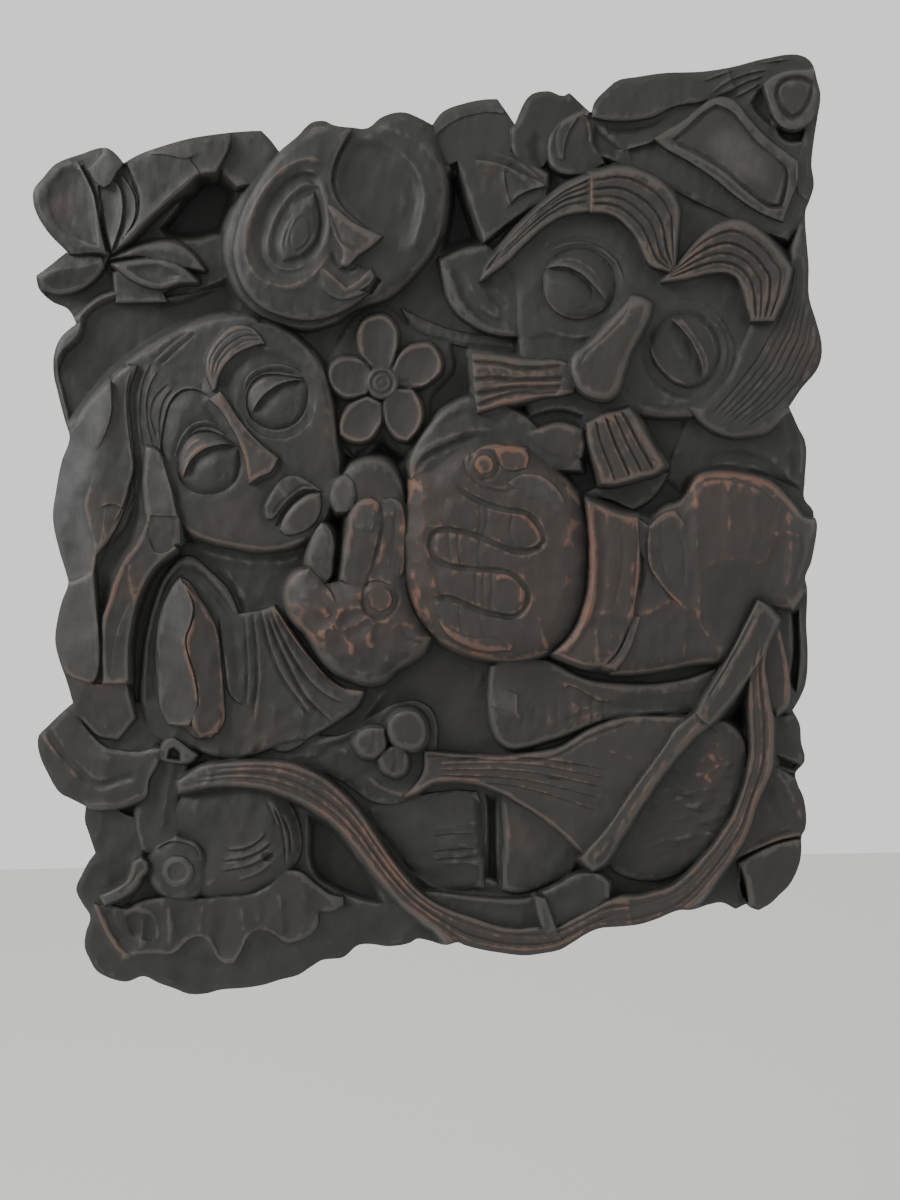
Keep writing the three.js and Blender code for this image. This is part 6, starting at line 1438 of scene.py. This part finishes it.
def carve_side_leaves(wood):
    """The leaves at the left edge and at the lower right."""
    wood.form([(-202, -93), (-190, -100), (-176, -104), (-166, -96), (-158, -96), (-152, -118), (-160, -125),
               (-180, -124), (-192, -114)], 32, roll=(1.9, 1.1), cuts=(10, 0.75))
    left = [(-198, -92), (-197, -103), (-190, -114), (-183, -120.5), (-175, -122.5), (-165, -123.5),
            (-155, -121.5), (-152, -122), (-154, -130), (-157, -135), (-160, -140), (-161, -148), (-163, -150),
            (-170, -153.5), (-178, -155.5), (-188, -156), (-196, -154.5), (-208, -153), (-222, -138),
            (-226, -118), (-222, -106), (-208, -94)]
    wood.form(left, 37, lean=(0.03, 0.0), roll=(1.9, 1.1), crown=2, cuts=(18, 0.9, 1.3, 25, 5), warm=0.12)
    wood.groove([(-216, -110), (-210, -120), (-203, -129.5), (-197, -136), (-192, -140.5), (-186, -142),
                 (-178, -139.5), (-168, -137)], 3.4, 2.2, 0.05, False)
    wood.crest([(-217, -112), (-212, -121), (-205, -130), (-198, -137)], 3, 1.2, 0.08, warm=0.9)
    wood.crest([(-181, -124), (-184, -133), (-187, -141)], 5, 1.4)
    wood.crest([(-198, -152), (-188, -153.5), (-176, -152.5), (-164, -148)], 4, 1.4, 0.06)
    # Right side, from the strip down to the bottom leaf.
    wood.form([(188, -112), (196, -110), (206, -108), (211, -124), (213, -136), (206, -144), (198, -142),
               (189, -139)], 30, roll=(1.9, 1.1), cuts=(10, 0.9))
    wood.sink([(191, -131), (206, -137), (203, -143), (193, -139)], floor=20, soft=3)
    wood.form([(156, -203), (172, -194), (177, -217), (176, -224), (164, -224), (148, -222)], 25, roll=(1.9, 1.1),
              cuts=(9, 0.75))
    upper = [(189, -138), (194, -140), (200, -144.5), (205, -151), (213, -160), (214, -176), (206, -179),
             (195, -181), (185, -185), (172, -190.5), (163, -197), (170, -186), (176, -177), (179, -168),
             (182, -158), (186, -148)]
    wood.form(upper, 33, roll=(1.6, 0.9), cuts=(13, 0.75, 1.2, 60, 5), warm=0.2)
    wood.crest([(190, -140), (196, -147), (202, -158), (207, -170)], 3, 1.3, warm=0.5)
    wood.groove([(186, -150), (192, -162), (198, -174)], 4, 1.4, 0.1, False)
    wood.crest([(207, -178.5), (195, -181), (182, -186), (171, -191.5), (162, -198)], 2.4, 1.8, 0.03, warm=0.7)
    wood.groove([(205, -175.5), (194, -178), (181, -183)], 1.6, 1.2)
    bottom = [(212, -180), (212, -198), (204, -213), (192, -222), (181, -227), (177, -219), (175, -209),
              (173, -201), (171.5, -194), (184, -187.5), (196, -183)]
    wood.form(bottom, 37, lean=(0.02, 0), roll=(2.5, 1.7), crown=1.5, cuts=(20, 0.52, 1.2, 60, 3), warm=0.2)
    wood.sink([(172, -194), (176, -205), (178, -218), (175, -219), (172, -206)], floor=17, soft=2)


def carve(pitch):
    """The whole front, from the ground up."""
    outline = np.asarray(SILHOUETTE, float)
    wood = Carving(outline.min(0) - 4, outline.max(0) + 4, pitch)
    for region in (carve_ground, carve_blossom, carve_moon, carve_top_leaves, carve_side_leaves,
                   carve_lower_left, carve_instrument, carve_ribbon, carve_cap, carve_jester, carve_flower,
                   carve_woman, carve_sleeve, carve_hand, carve_fist):
        region(wood)
    return wood


GRID_PITCH = 0.5    # spacing of the heights, mm
TRIANGLES = 196000
SIDE_STEP = 3.2          # height of one ring of the sides, mm
PRESS = 0.75             # the levels are drawn together by this towards OUTLINE_LEVEL
MILLIMETRE = 0.001


def sample(layer, wood, points):
    """Values of a layer at any points, mixed from the four around each."""
    place = (points - wood.low) / wood.pitch
    column = np.clip(place[:, 0], 0, wood.columns - 1.001)
    row = np.clip(place[:, 1], 0, wood.rows - 1.001)
    c, r = column.astype(int), row.astype(int)
    x, y = column - c, row - r
    top = layer[r + 1, c] * (1 - x) + layer[r + 1, c + 1] * x
    return (layer[r, c] * (1 - x) + layer[r, c + 1] * x) * (1 - y) + top * y


def spread(points, height):
    """Where points seen at OUTLINE_LEVEL lie at their own height: x and z in mm."""
    k = (FLARE_APEX - height) / (FLARE_APEX - OUTLINE_LEVEL)
    return np.stack([FLARE_CENTRE + (points[:, 0] - FLARE_CENTRE) * k, points[:, 1] * k], axis=1)


def gather(places, height):
    """The opposite of spread: points as seen, from x and z in mm."""
    k = (FLARE_APEX - height) / (FLARE_APEX - OUTLINE_LEVEL)
    return np.stack([FLARE_CENTRE + (places[:, 0] - FLARE_CENTRE) / k, places[:, 1] / k], axis=1)


def finish_surface(wood):
    """Fine tool marks all over, a worn rim and a slight softening of every edge."""
    wood.height = OUTLINE_LEVEL + (wood.height - OUTLINE_LEVEL) * np.float32(PRESS)
    window = (slice(0, wood.rows), slice(0, wood.columns))
    u, v = wood.places(window)
    wood.height += (0.2 * (scallops(u, v, 5.0, 1.8, 75, 21) - 0.5)).astype(np.float32)
    wood.height += (0.3 * (scallops(u, v, 11.0, 1.3, 70, 4) - 0.5)).astype(np.float32)
    wood.height = blur(wood.height, 1) * 0.2 + wood.height * 0.8
    away = np.full(wood.height.shape, 6.0)
    place, inside_sd, _ = wood.area(SILHOUETTE, 6.0)
    away[place] = inside_sd
    slope_v, slope_u = np.gradient(away, wood.pitch)
    size = np.hypot(slope_u, slope_v) + 1e-6
    near = (away > -2.2) & (away < 5.9)
    points = np.stack([u[near], v[near]], axis=1)
    back = (away[near] + 2.2)[:, None]
    inward = points - back * np.stack([slope_u[near] / size[near], slope_v[near] / size[near]], axis=1)
    wood.height[near] = sample(wood.height, wood, inward)
    rim = np.clip(1.0 + away / 3.5, 0.0, 1.0)
    wood.height -= (1.6 * rim * rim).astype(np.float32)
    return away, slope_u / size, slope_v / size


def boundary_loops(cells):
    """Closed runs of grid corners round the cells that are kept, with the cells on the left."""
    rows, cols = cells.shape
    padded = np.zeros((rows + 2, cols + 2), bool)
    padded[1:-1, 1:-1] = cells
    width = cols + 1
    follow = {}
    kept = np.argwhere(cells)
    sides = (((-1, 0), (0, 0), (0, 1)), ((0, 1), (0, 1), (1, 1)), ((1, 0), (1, 1), (1, 0)),
             ((0, -1), (1, 0), (0, 0)))
    for (dr, dc), start, end in sides:
        open_side = ~padded[kept[:, 0] + 1 + dr, kept[:, 1] + 1 + dc]
        for r, c in kept[open_side]:
            follow[(r + start[0]) * width + c + start[1]] = (r + end[0]) * width + c + end[1]
    loops = []
    while follow:
        first, corner = follow.popitem()
        loop = [first]
        while corner != first and corner in follow:
            loop.append(corner)
            corner = follow.pop(corner)
        loops.append(loop)
    return sorted(loops, key=len, reverse=True)


def clean_cells(cells):
    """Removes cells that touch others only at a corner."""
    while True:
        a, b, c, d = cells[:-1, :-1], cells[:-1, 1:], cells[1:, :-1], cells[1:, 1:]
        falling = a & d & ~b & ~c
        rising = b & c & ~a & ~d
        if not (falling.any() or rising.any()):
            return cells
        cells[:-1, :-1] &= ~falling
        cells[:-1, 1:] &= ~rising


def block_mesh(wood):
    """Points in mm (x, depth, z) and faces of the whole block: front, sides and back."""
    away, slope_u, slope_v = finish_surface(wood)
    inside = away < 0.25 * wood.pitch
    cells = clean_cells(inside[:-1, :-1] & inside[:-1, 1:] & inside[1:, :-1] & inside[1:, 1:])
    loop = boundary_loops(cells)[0]
    width = wood.columns
    u, v = wood.places((slice(0, wood.rows), slice(0, wood.columns)))
    seen = np.stack([u.ravel(), v.ravel()], axis=1)
    rim = np.array(loop)
    rim = (rim // width) * width + rim % width
    shift = np.clip(away.ravel()[rim], -wood.pitch, wood.pitch)[:, None]
    seen[rim] -= shift * np.stack([slope_u.ravel()[rim], slope_v.ravel()[rim]], axis=1)
    height = wood.height.astype(float).ravel()
    kept = np.argwhere(cells)
    first = kept[:, 0] * width + kept[:, 1]
    quads = np.stack([first, first + 1, first + 1 + width, first + width], axis=1)
    used, compact = np.unique(quads, return_inverse=True)
    quads = compact.reshape(quads.shape)
    front = spread(seen[used], height[used])
    points = np.column_stack([front[:, 0], height[used], front[:, 1]])
    edge = np.searchsorted(used, rim)
    sides, back_ring = side_rings(points, edge)
    start = len(points)
    points = np.vstack([points, sides])
    rings = [edge] + [start + i * len(edge) + np.arange(len(edge)) for i in range(len(sides) // len(edge))]
    faces = [quads]
    for upper, lower in zip(rings[:-1], rings[1:]):
        faces.append(np.stack([upper, lower, np.roll(lower, -1), np.roll(upper, -1)], axis=1))
    flat = [mathutils.Vector((x, z, 0.0)) for x, _, z in points[rings[-1]]]
    back = np.array(mathutils.geometry.tessellate_polygon([flat]))
    back = rings[-1][back]
    return points, np.concatenate(faces), back


def side_rings(points, edge):
    """Rings from the front edge straight back to the wall plane, cut in shallow flats."""
    ring = points[edge]
    along = np.roll(ring, -1, axis=0) - np.roll(ring, 1, axis=0)
    for _ in range(6):
        along = (np.roll(along, 1, axis=0) + along + np.roll(along, -1, axis=0)) / 3
    length = np.hypot(along[:, 0], along[:, 2]) + 1e-9
    inward = np.stack([-along[:, 2] / length, along[:, 0] / length], axis=1)
    steps = np.hypot(*(np.roll(ring, -1, axis=0) - ring)[:, (0, 2)].T)
    travelled = np.concatenate([[0], np.cumsum(steps)[:-1]])
    count = int(math.ceil(45 / SIDE_STEP))
    rings = []
    for i in range(1, count + 1):
        depth = ring[:, 1] * (1 - i / count)
        cut = scallops(travelled, depth * 1.3, 17, 1.0, 8, 31)
        settle = min(1.0, i / 3.0)
        inset = settle * (2.2 - 1.7 * np.clip(cut, 0, 1)) + 1.5 * max(0.0, i / count - 0.8) * 5
        rings.append(np.column_stack([ring[:, 0] + inward[:, 0] * inset, depth,
                                      ring[:, 2] + inward[:, 1] * inset]))
    return np.concatenate(rings), None


def make_object(points, quads, triangles):
    """A Blender object in metres from points given as x, depth and z."""
    low, high = np.array(cad_box[0]) / MILLIMETRE, np.array(cad_box[1]) / MILLIMETRE
    place = np.column_stack([points[:, 0], -points[:, 1], points[:, 2]])
    place = np.clip(place, low, high) * MILLIMETRE
    mesh = bpy.data.meshes.new("carved_wood")
    mesh.vertices.add(len(place))
    mesh.vertices.foreach_set("co", place.ravel())
    corners = np.concatenate([quads.ravel(), triangles.ravel()])
    starts = np.concatenate([np.arange(len(quads)) * 4, len(quads) * 4 + np.arange(len(triangles)) * 3])
    mesh.loops.add(len(corners))
    mesh.loops.foreach_set("vertex_index", corners)
    mesh.polygons.add(len(starts))
    mesh.polygons.foreach_set("loop_start", starts)
    mesh.update(calc_edges=True)
    mesh.validate()
    panel = bpy.data.objects.new("carved_wood", mesh)
    bpy.context.scene.collection.objects.link(panel)
    return panel


def thin_out(panel, triangles):
    """Fewer triangles where the surface is even, as many as are useful along the cuts."""
    count = sum(len(p.vertices) - 2 for p in panel.data.polygons)
    if count <= triangles:
        return
    modifier = panel.modifiers.new("thin", "DECIMATE")
    modifier.ratio = triangles / count
    modifier.use_collapse_triangulate = True
    graph = bpy.context.evaluated_depsgraph_get()
    reduced = bpy.data.meshes.new_from_object(panel.evaluated_get(graph))
    panel.modifiers.clear()
    old = panel.data
    panel.data = reduced
    bpy.data.meshes.remove(old)


def tone_layers(wood):
    """Layers for the finish: worn crests, painted shade in the hollows, warm areas and pale areas of painted sheen.
    """
    height = wood.height
    cell = wood.pitch
    fine = height - blur(height, max(1, round(0.9 / cell)))
    broad = height - blur(height, round(4.0 / cell))
    wide = height - blur(height, round(12.0 / cell))
    worn = np.clip((fine - 0.05) / 0.3, 0, 1) * 0.75 + np.clip(broad / 1.8, 0, 1) * 0.25
    # Painted shade: hollow is highest in broad recesses, where the colour is darkened.
    hollow = np.clip(-broad / 3.0, 0, 1) * 0.4 + np.clip(-wide / 8.0, 0, 1) * 0.6
    return {"worn": worn, "hollow": np.clip(hollow, 0, 1), "warm": blur(wood.warm, round(1.2 / cell)),
            "pale": blur(wood.pale, round(2.0 / cell))}


def store_tones(panel, wood):
    """Writes each layer on the points of the mesh."""
    mesh = panel.data
    count = len(mesh.vertices)
    place = np.empty(count * 3)
    mesh.vertices.foreach_get("co", place)
    place = place.reshape(-1, 3) / MILLIMETRE
    depth = -place[:, 1]
    seen = gather(place[:, (0, 2)], depth)
    surface = sample(wood.height, wood, seen)
    on_side = np.clip((surface - depth - 1.5) / 3.0, 0, 1)
    for name, layer in tone_layers(wood).items():
        values = sample(layer, wood, seen)
        values = values * (1 - on_side)
        attribute = mesh.attributes.new(name, "FLOAT", "POINT")
        attribute.data.foreach_set("value", values.astype(np.float32))


def shade(panel):
    mesh = panel.data
    mesh.polygons.foreach_set("use_smooth", np.ones(len(mesh.polygons), bool))
    mesh.set_sharp_from_angle(angle=math.radians(22))


class Graph:
    """Short calls for the nodes of one material."""

    def __init__(self, material):
        self.nodes = material.node_tree.nodes
        self.links = material.node_tree.links

    def put(self, socket, value):
        if isinstance(value, bpy.types.NodeSocket):
            self.links.new(value, socket)
        else:
            socket.default_value = value

    def attribute(self, name):
        node = self.nodes.new("ShaderNodeAttribute")
        node.attribute_name = name
        return node.outputs["Fac"]

    def math(self, operation, a, b=0.0, clamp=False):
        node = self.nodes.new("ShaderNodeMath")
        node.operation = operation
        node.use_clamp = clamp
        self.put(node.inputs[0], a)
        self.put(node.inputs[1], b)
        return node.outputs[0]

    def span(self, value, low, high, first=0.0, last=1.0):
        node = self.nodes.new("ShaderNodeMapRange")
        node.interpolation_type = "SMOOTHSTEP"
        self.put(node.inputs["Value"], value)
        for name, number in (("From Min", low), ("From Max", high), ("To Min", first), ("To Max", last)):
            node.inputs[name].default_value = number
        return node.outputs[0]

    def mix(self, part, first, second, blend="MIX"):
        node = self.nodes.new("ShaderNodeMix")
        node.data_type = "RGBA"
        node.blend_type = blend
        self.put(node.inputs["Factor"], part)
        self.put(node.inputs[6], first)
        self.put(node.inputs[7], second)
        return node.outputs[2]

    def noise(self, stretch, scale, detail=4.0, rough=0.55):
        """Noise over the object, with its grain drawn out by the three factors."""
        coordinates = self.nodes.new("ShaderNodeTexCoord")
        mapping = self.nodes.new("ShaderNodeMapping")
        mapping.inputs["Scale"].default_value = stretch
        self.links.new(coordinates.outputs["Object"], mapping.inputs["Vector"])
        node = self.nodes.new("ShaderNodeTexNoise")
        node.inputs["Scale"].default_value = scale
        node.inputs["Detail"].default_value = detail
        node.inputs["Roughness"].default_value = rough
        self.links.new(mapping.outputs["Vector"], node.inputs["Vector"])
        return node.outputs["Fac"]

    def cells(self, stretch, scale):
        """Small overlapping hollows like the cuts of a gouge, drawn out by the three factors."""
        coordinates = self.nodes.new("ShaderNodeTexCoord")
        mapping = self.nodes.new("ShaderNodeMapping")
        mapping.inputs["Scale"].default_value = stretch
        mapping.inputs["Rotation"].default_value = (0, 0.2, 0)
        self.links.new(coordinates.outputs["Object"], mapping.inputs["Vector"])
        node = self.nodes.new("ShaderNodeTexVoronoi")
        node.inputs["Scale"].default_value = scale
        self.links.new(mapping.outputs["Vector"], node.inputs["Vector"])
        return node.outputs["Distance"]


CHARCOAL = (0.0305, 0.0305, 0.0275, 1)
# Painted shade for the hollows: darker and greener than the stain.
PAINTED_HOLLOW_SHADE = (0.0240, 0.0275, 0.0250, 1)
RED_BROWN = (0.050, 0.037, 0.033, 1)
WORN_EDGE = (0.155, 0.080, 0.056, 1)
WORN_GREY = (0.085, 0.080, 0.073, 1)
# Painted sheen: a light grey that stands in for light on facets turned to the lamp.
PAINTED_SHEEN = (0.080, 0.080, 0.081, 1)


def stained_wood():
    """Dark stain over close-grained wood, rubbed through to red-brown on what stands out, with painted shade in the
    hollows and a painted sheen on lit facets.
    """
    material = bpy.data.materials.new("stained_wood")
    material.use_nodes = True
    graph = Graph(material)
    shader = graph.nodes["Principled BSDF"]
    cloud = graph.noise((1, 1, 1), 22, 5, 0.6)
    patch = graph.noise((1, 1, 1), 70, 6, 0.65)
    grain = graph.noise((1, 1, 0.12), 900, 5, 0.6)
    streak = graph.noise((1, 1, 0.08), 260, 4, 0.55)
    warm = graph.math("MULTIPLY", graph.attribute("warm"), graph.span(patch, 0.28, 0.62, 0.45, 1.15))
    worn = graph.attribute("worn")
    hollow = graph.attribute("hollow")
    pale = graph.attribute("pale")
    ground = graph.mix(graph.span(cloud, 0.35, 0.65), CHARCOAL, (0.022, 0.0235, 0.0215, 1))
    ground = graph.mix(graph.span(streak, 0.4, 0.7, 0.0, 0.12), ground, (0.036, 0.032, 0.029, 1))
    colour = graph.mix(graph.math("MULTIPLY", warm, 0.8, True), ground, RED_BROWN)
    # Painted sheen: the pale layer lightens the colour towards a grey where facets face the light.
    colour = graph.mix(graph.math("MULTIPLY", pale, graph.span(patch, 0.3, 0.6, 0.35, 0.75), True), colour, PAINTED_SHEEN)
    # Painted shade: the colour is darkened and greened in the hollows.
    colour = graph.mix(graph.math("MULTIPLY", hollow, 0.85, True), colour, PAINTED_HOLLOW_SHADE)
    rubbed = graph.span(graph.math("ADD", worn, graph.span(patch, 0.3, 0.7, -0.2, 0.2)), 0.32, 0.9)
    edge = graph.mix(graph.span(warm, 0.1, 1.0), WORN_GREY, WORN_EDGE)
    strength = graph.math("MULTIPLY", rubbed, graph.span(warm, 0.0, 0.95, 0.5, 0.85), True)
    colour = graph.mix(strength, colour, edge)
    colour = graph.mix(graph.span(grain, 0.3, 0.75, 0.0, 0.2), colour, (0.02, 0.018, 0.016, 1), "MIX")
    graph.put(shader.inputs["Base Color"], colour)
    rough = graph.span(patch, 0.25, 0.75, 0.46, 0.66)
    rough = graph.math("ADD", rough, graph.math("MULTIPLY", hollow, 0.22))
    graph.put(shader.inputs["Roughness"], rough)
    shader.inputs["Specular IOR Level"].default_value = 0.28
    bump = graph.nodes.new("ShaderNodeBump")
    bump.inputs["Strength"].default_value = 0.5
    bump.inputs["Distance"].default_value = 0.0005
    relief = graph.math("ADD", graph.math("MULTIPLY", grain, 0.35), graph.math("MULTIPLY", patch, 0.4))
    relief = graph.math("ADD", relief, graph.math("MULTIPLY", streak, 0.2))
    strokes = graph.math("MULTIPLY", graph.cells((1, 1, 0.45), 210), graph.span(cloud, 0.4, 0.62, 0.15, 1.0))
    relief = graph.math("ADD", relief, strokes)
    graph.put(bump.inputs["Height"], relief)
    graph.links.new(bump.outputs["Normal"], shader.inputs["Normal"])
    return material


def pale_floor():
    mesh = bpy.data.meshes.new("floor")
    half, level = 2.2, -1.05
    mesh.from_pydata([(-half, -half, level), (half, -half, level), (half, half, level), (-half, half, level)],
                     [], [(0, 1, 2, 3)])
    floor = bpy.data.objects.new("floor", mesh)
    bpy.context.scene.collection.objects.link(floor)
    material = bpy.data.materials.new("pale_floor")
    material.use_nodes = True
    shader = material.node_tree.nodes["Principled BSDF"]
    shader.inputs["Base Color"].default_value = (0.72, 0.72, 0.71, 1)
    shader.inputs["Roughness"].default_value = 0.9
    mesh.materials.append(material)


def soft_light(name, place, size, power, tone=(1, 1, 1)):
    """A large square light turned to the middle of the panel."""
    data = bpy.data.lights.new(name, "AREA")
    data.shape = "SQUARE"
    data.size = size
    data.energy = power
    data.color = tone
    light = bpy.data.objects.new(name, data)
    light.location = place
    aim = mathutils.Vector((0, 0, 0)) - mathutils.Vector(place)
    light.rotation_euler = aim.to_track_quat("-Z", "Y").to_euler()
    bpy.context.scene.collection.objects.link(light)


def studio():
    world = bpy.data.worlds.new("studio")
    world.use_nodes = True
    background = world.node_tree.nodes["Background"]
    background.inputs["Color"].default_value = (0.90, 0.89, 0.875, 1)
    background.inputs["Strength"].default_value = 1.18
    bpy.context.scene.world = world
    soft_light("window", (-1.4, -0.75, 0.95), 0.8, 26, (0.97, 0.985, 1.0))


def set_camera():
    """The photo was taken from just right of the middle, about half a metre away."""
    down, roll = math.radians(4.8), math.radians(1.1)
    ahead = mathutils.Vector((0, math.cos(down), -math.sin(down)))
    rise = mathutils.Vector((0, math.sin(down), math.cos(down)))
    side = mathutils.Vector((1, 0, 0))
    across = side * math.cos(roll) - rise * math.sin(roll)
    upright = side * math.sin(roll) + rise * math.cos(roll)
    data = bpy.data.cameras.new("photo_view")
    data.lens = 27
    data.sensor_width = 36
    data.clip_start = 0.01
    camera = bpy.data.objects.new("photo_view", data)
    turn = mathutils.Matrix((across, upright, -ahead)).transposed()
    camera.matrix_world = mathutils.Matrix.Translation((0.011, -0.540, 0.0)) @ turn.to_4x4()
    bpy.context.scene.collection.objects.link(camera)
    bpy.context.scene.camera = camera


wood = carve(GRID_PITCH)
points, quads, triangles = block_mesh(wood)
panel = make_object(points, quads, triangles)
thin_out(panel, TRIANGLES)
store_tones(panel, wood)
shade(panel)
panel.data.materials.append(stained_wood())
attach(panel, "root")
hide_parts("carved_panel")
pale_floor()
studio()
set_camera()
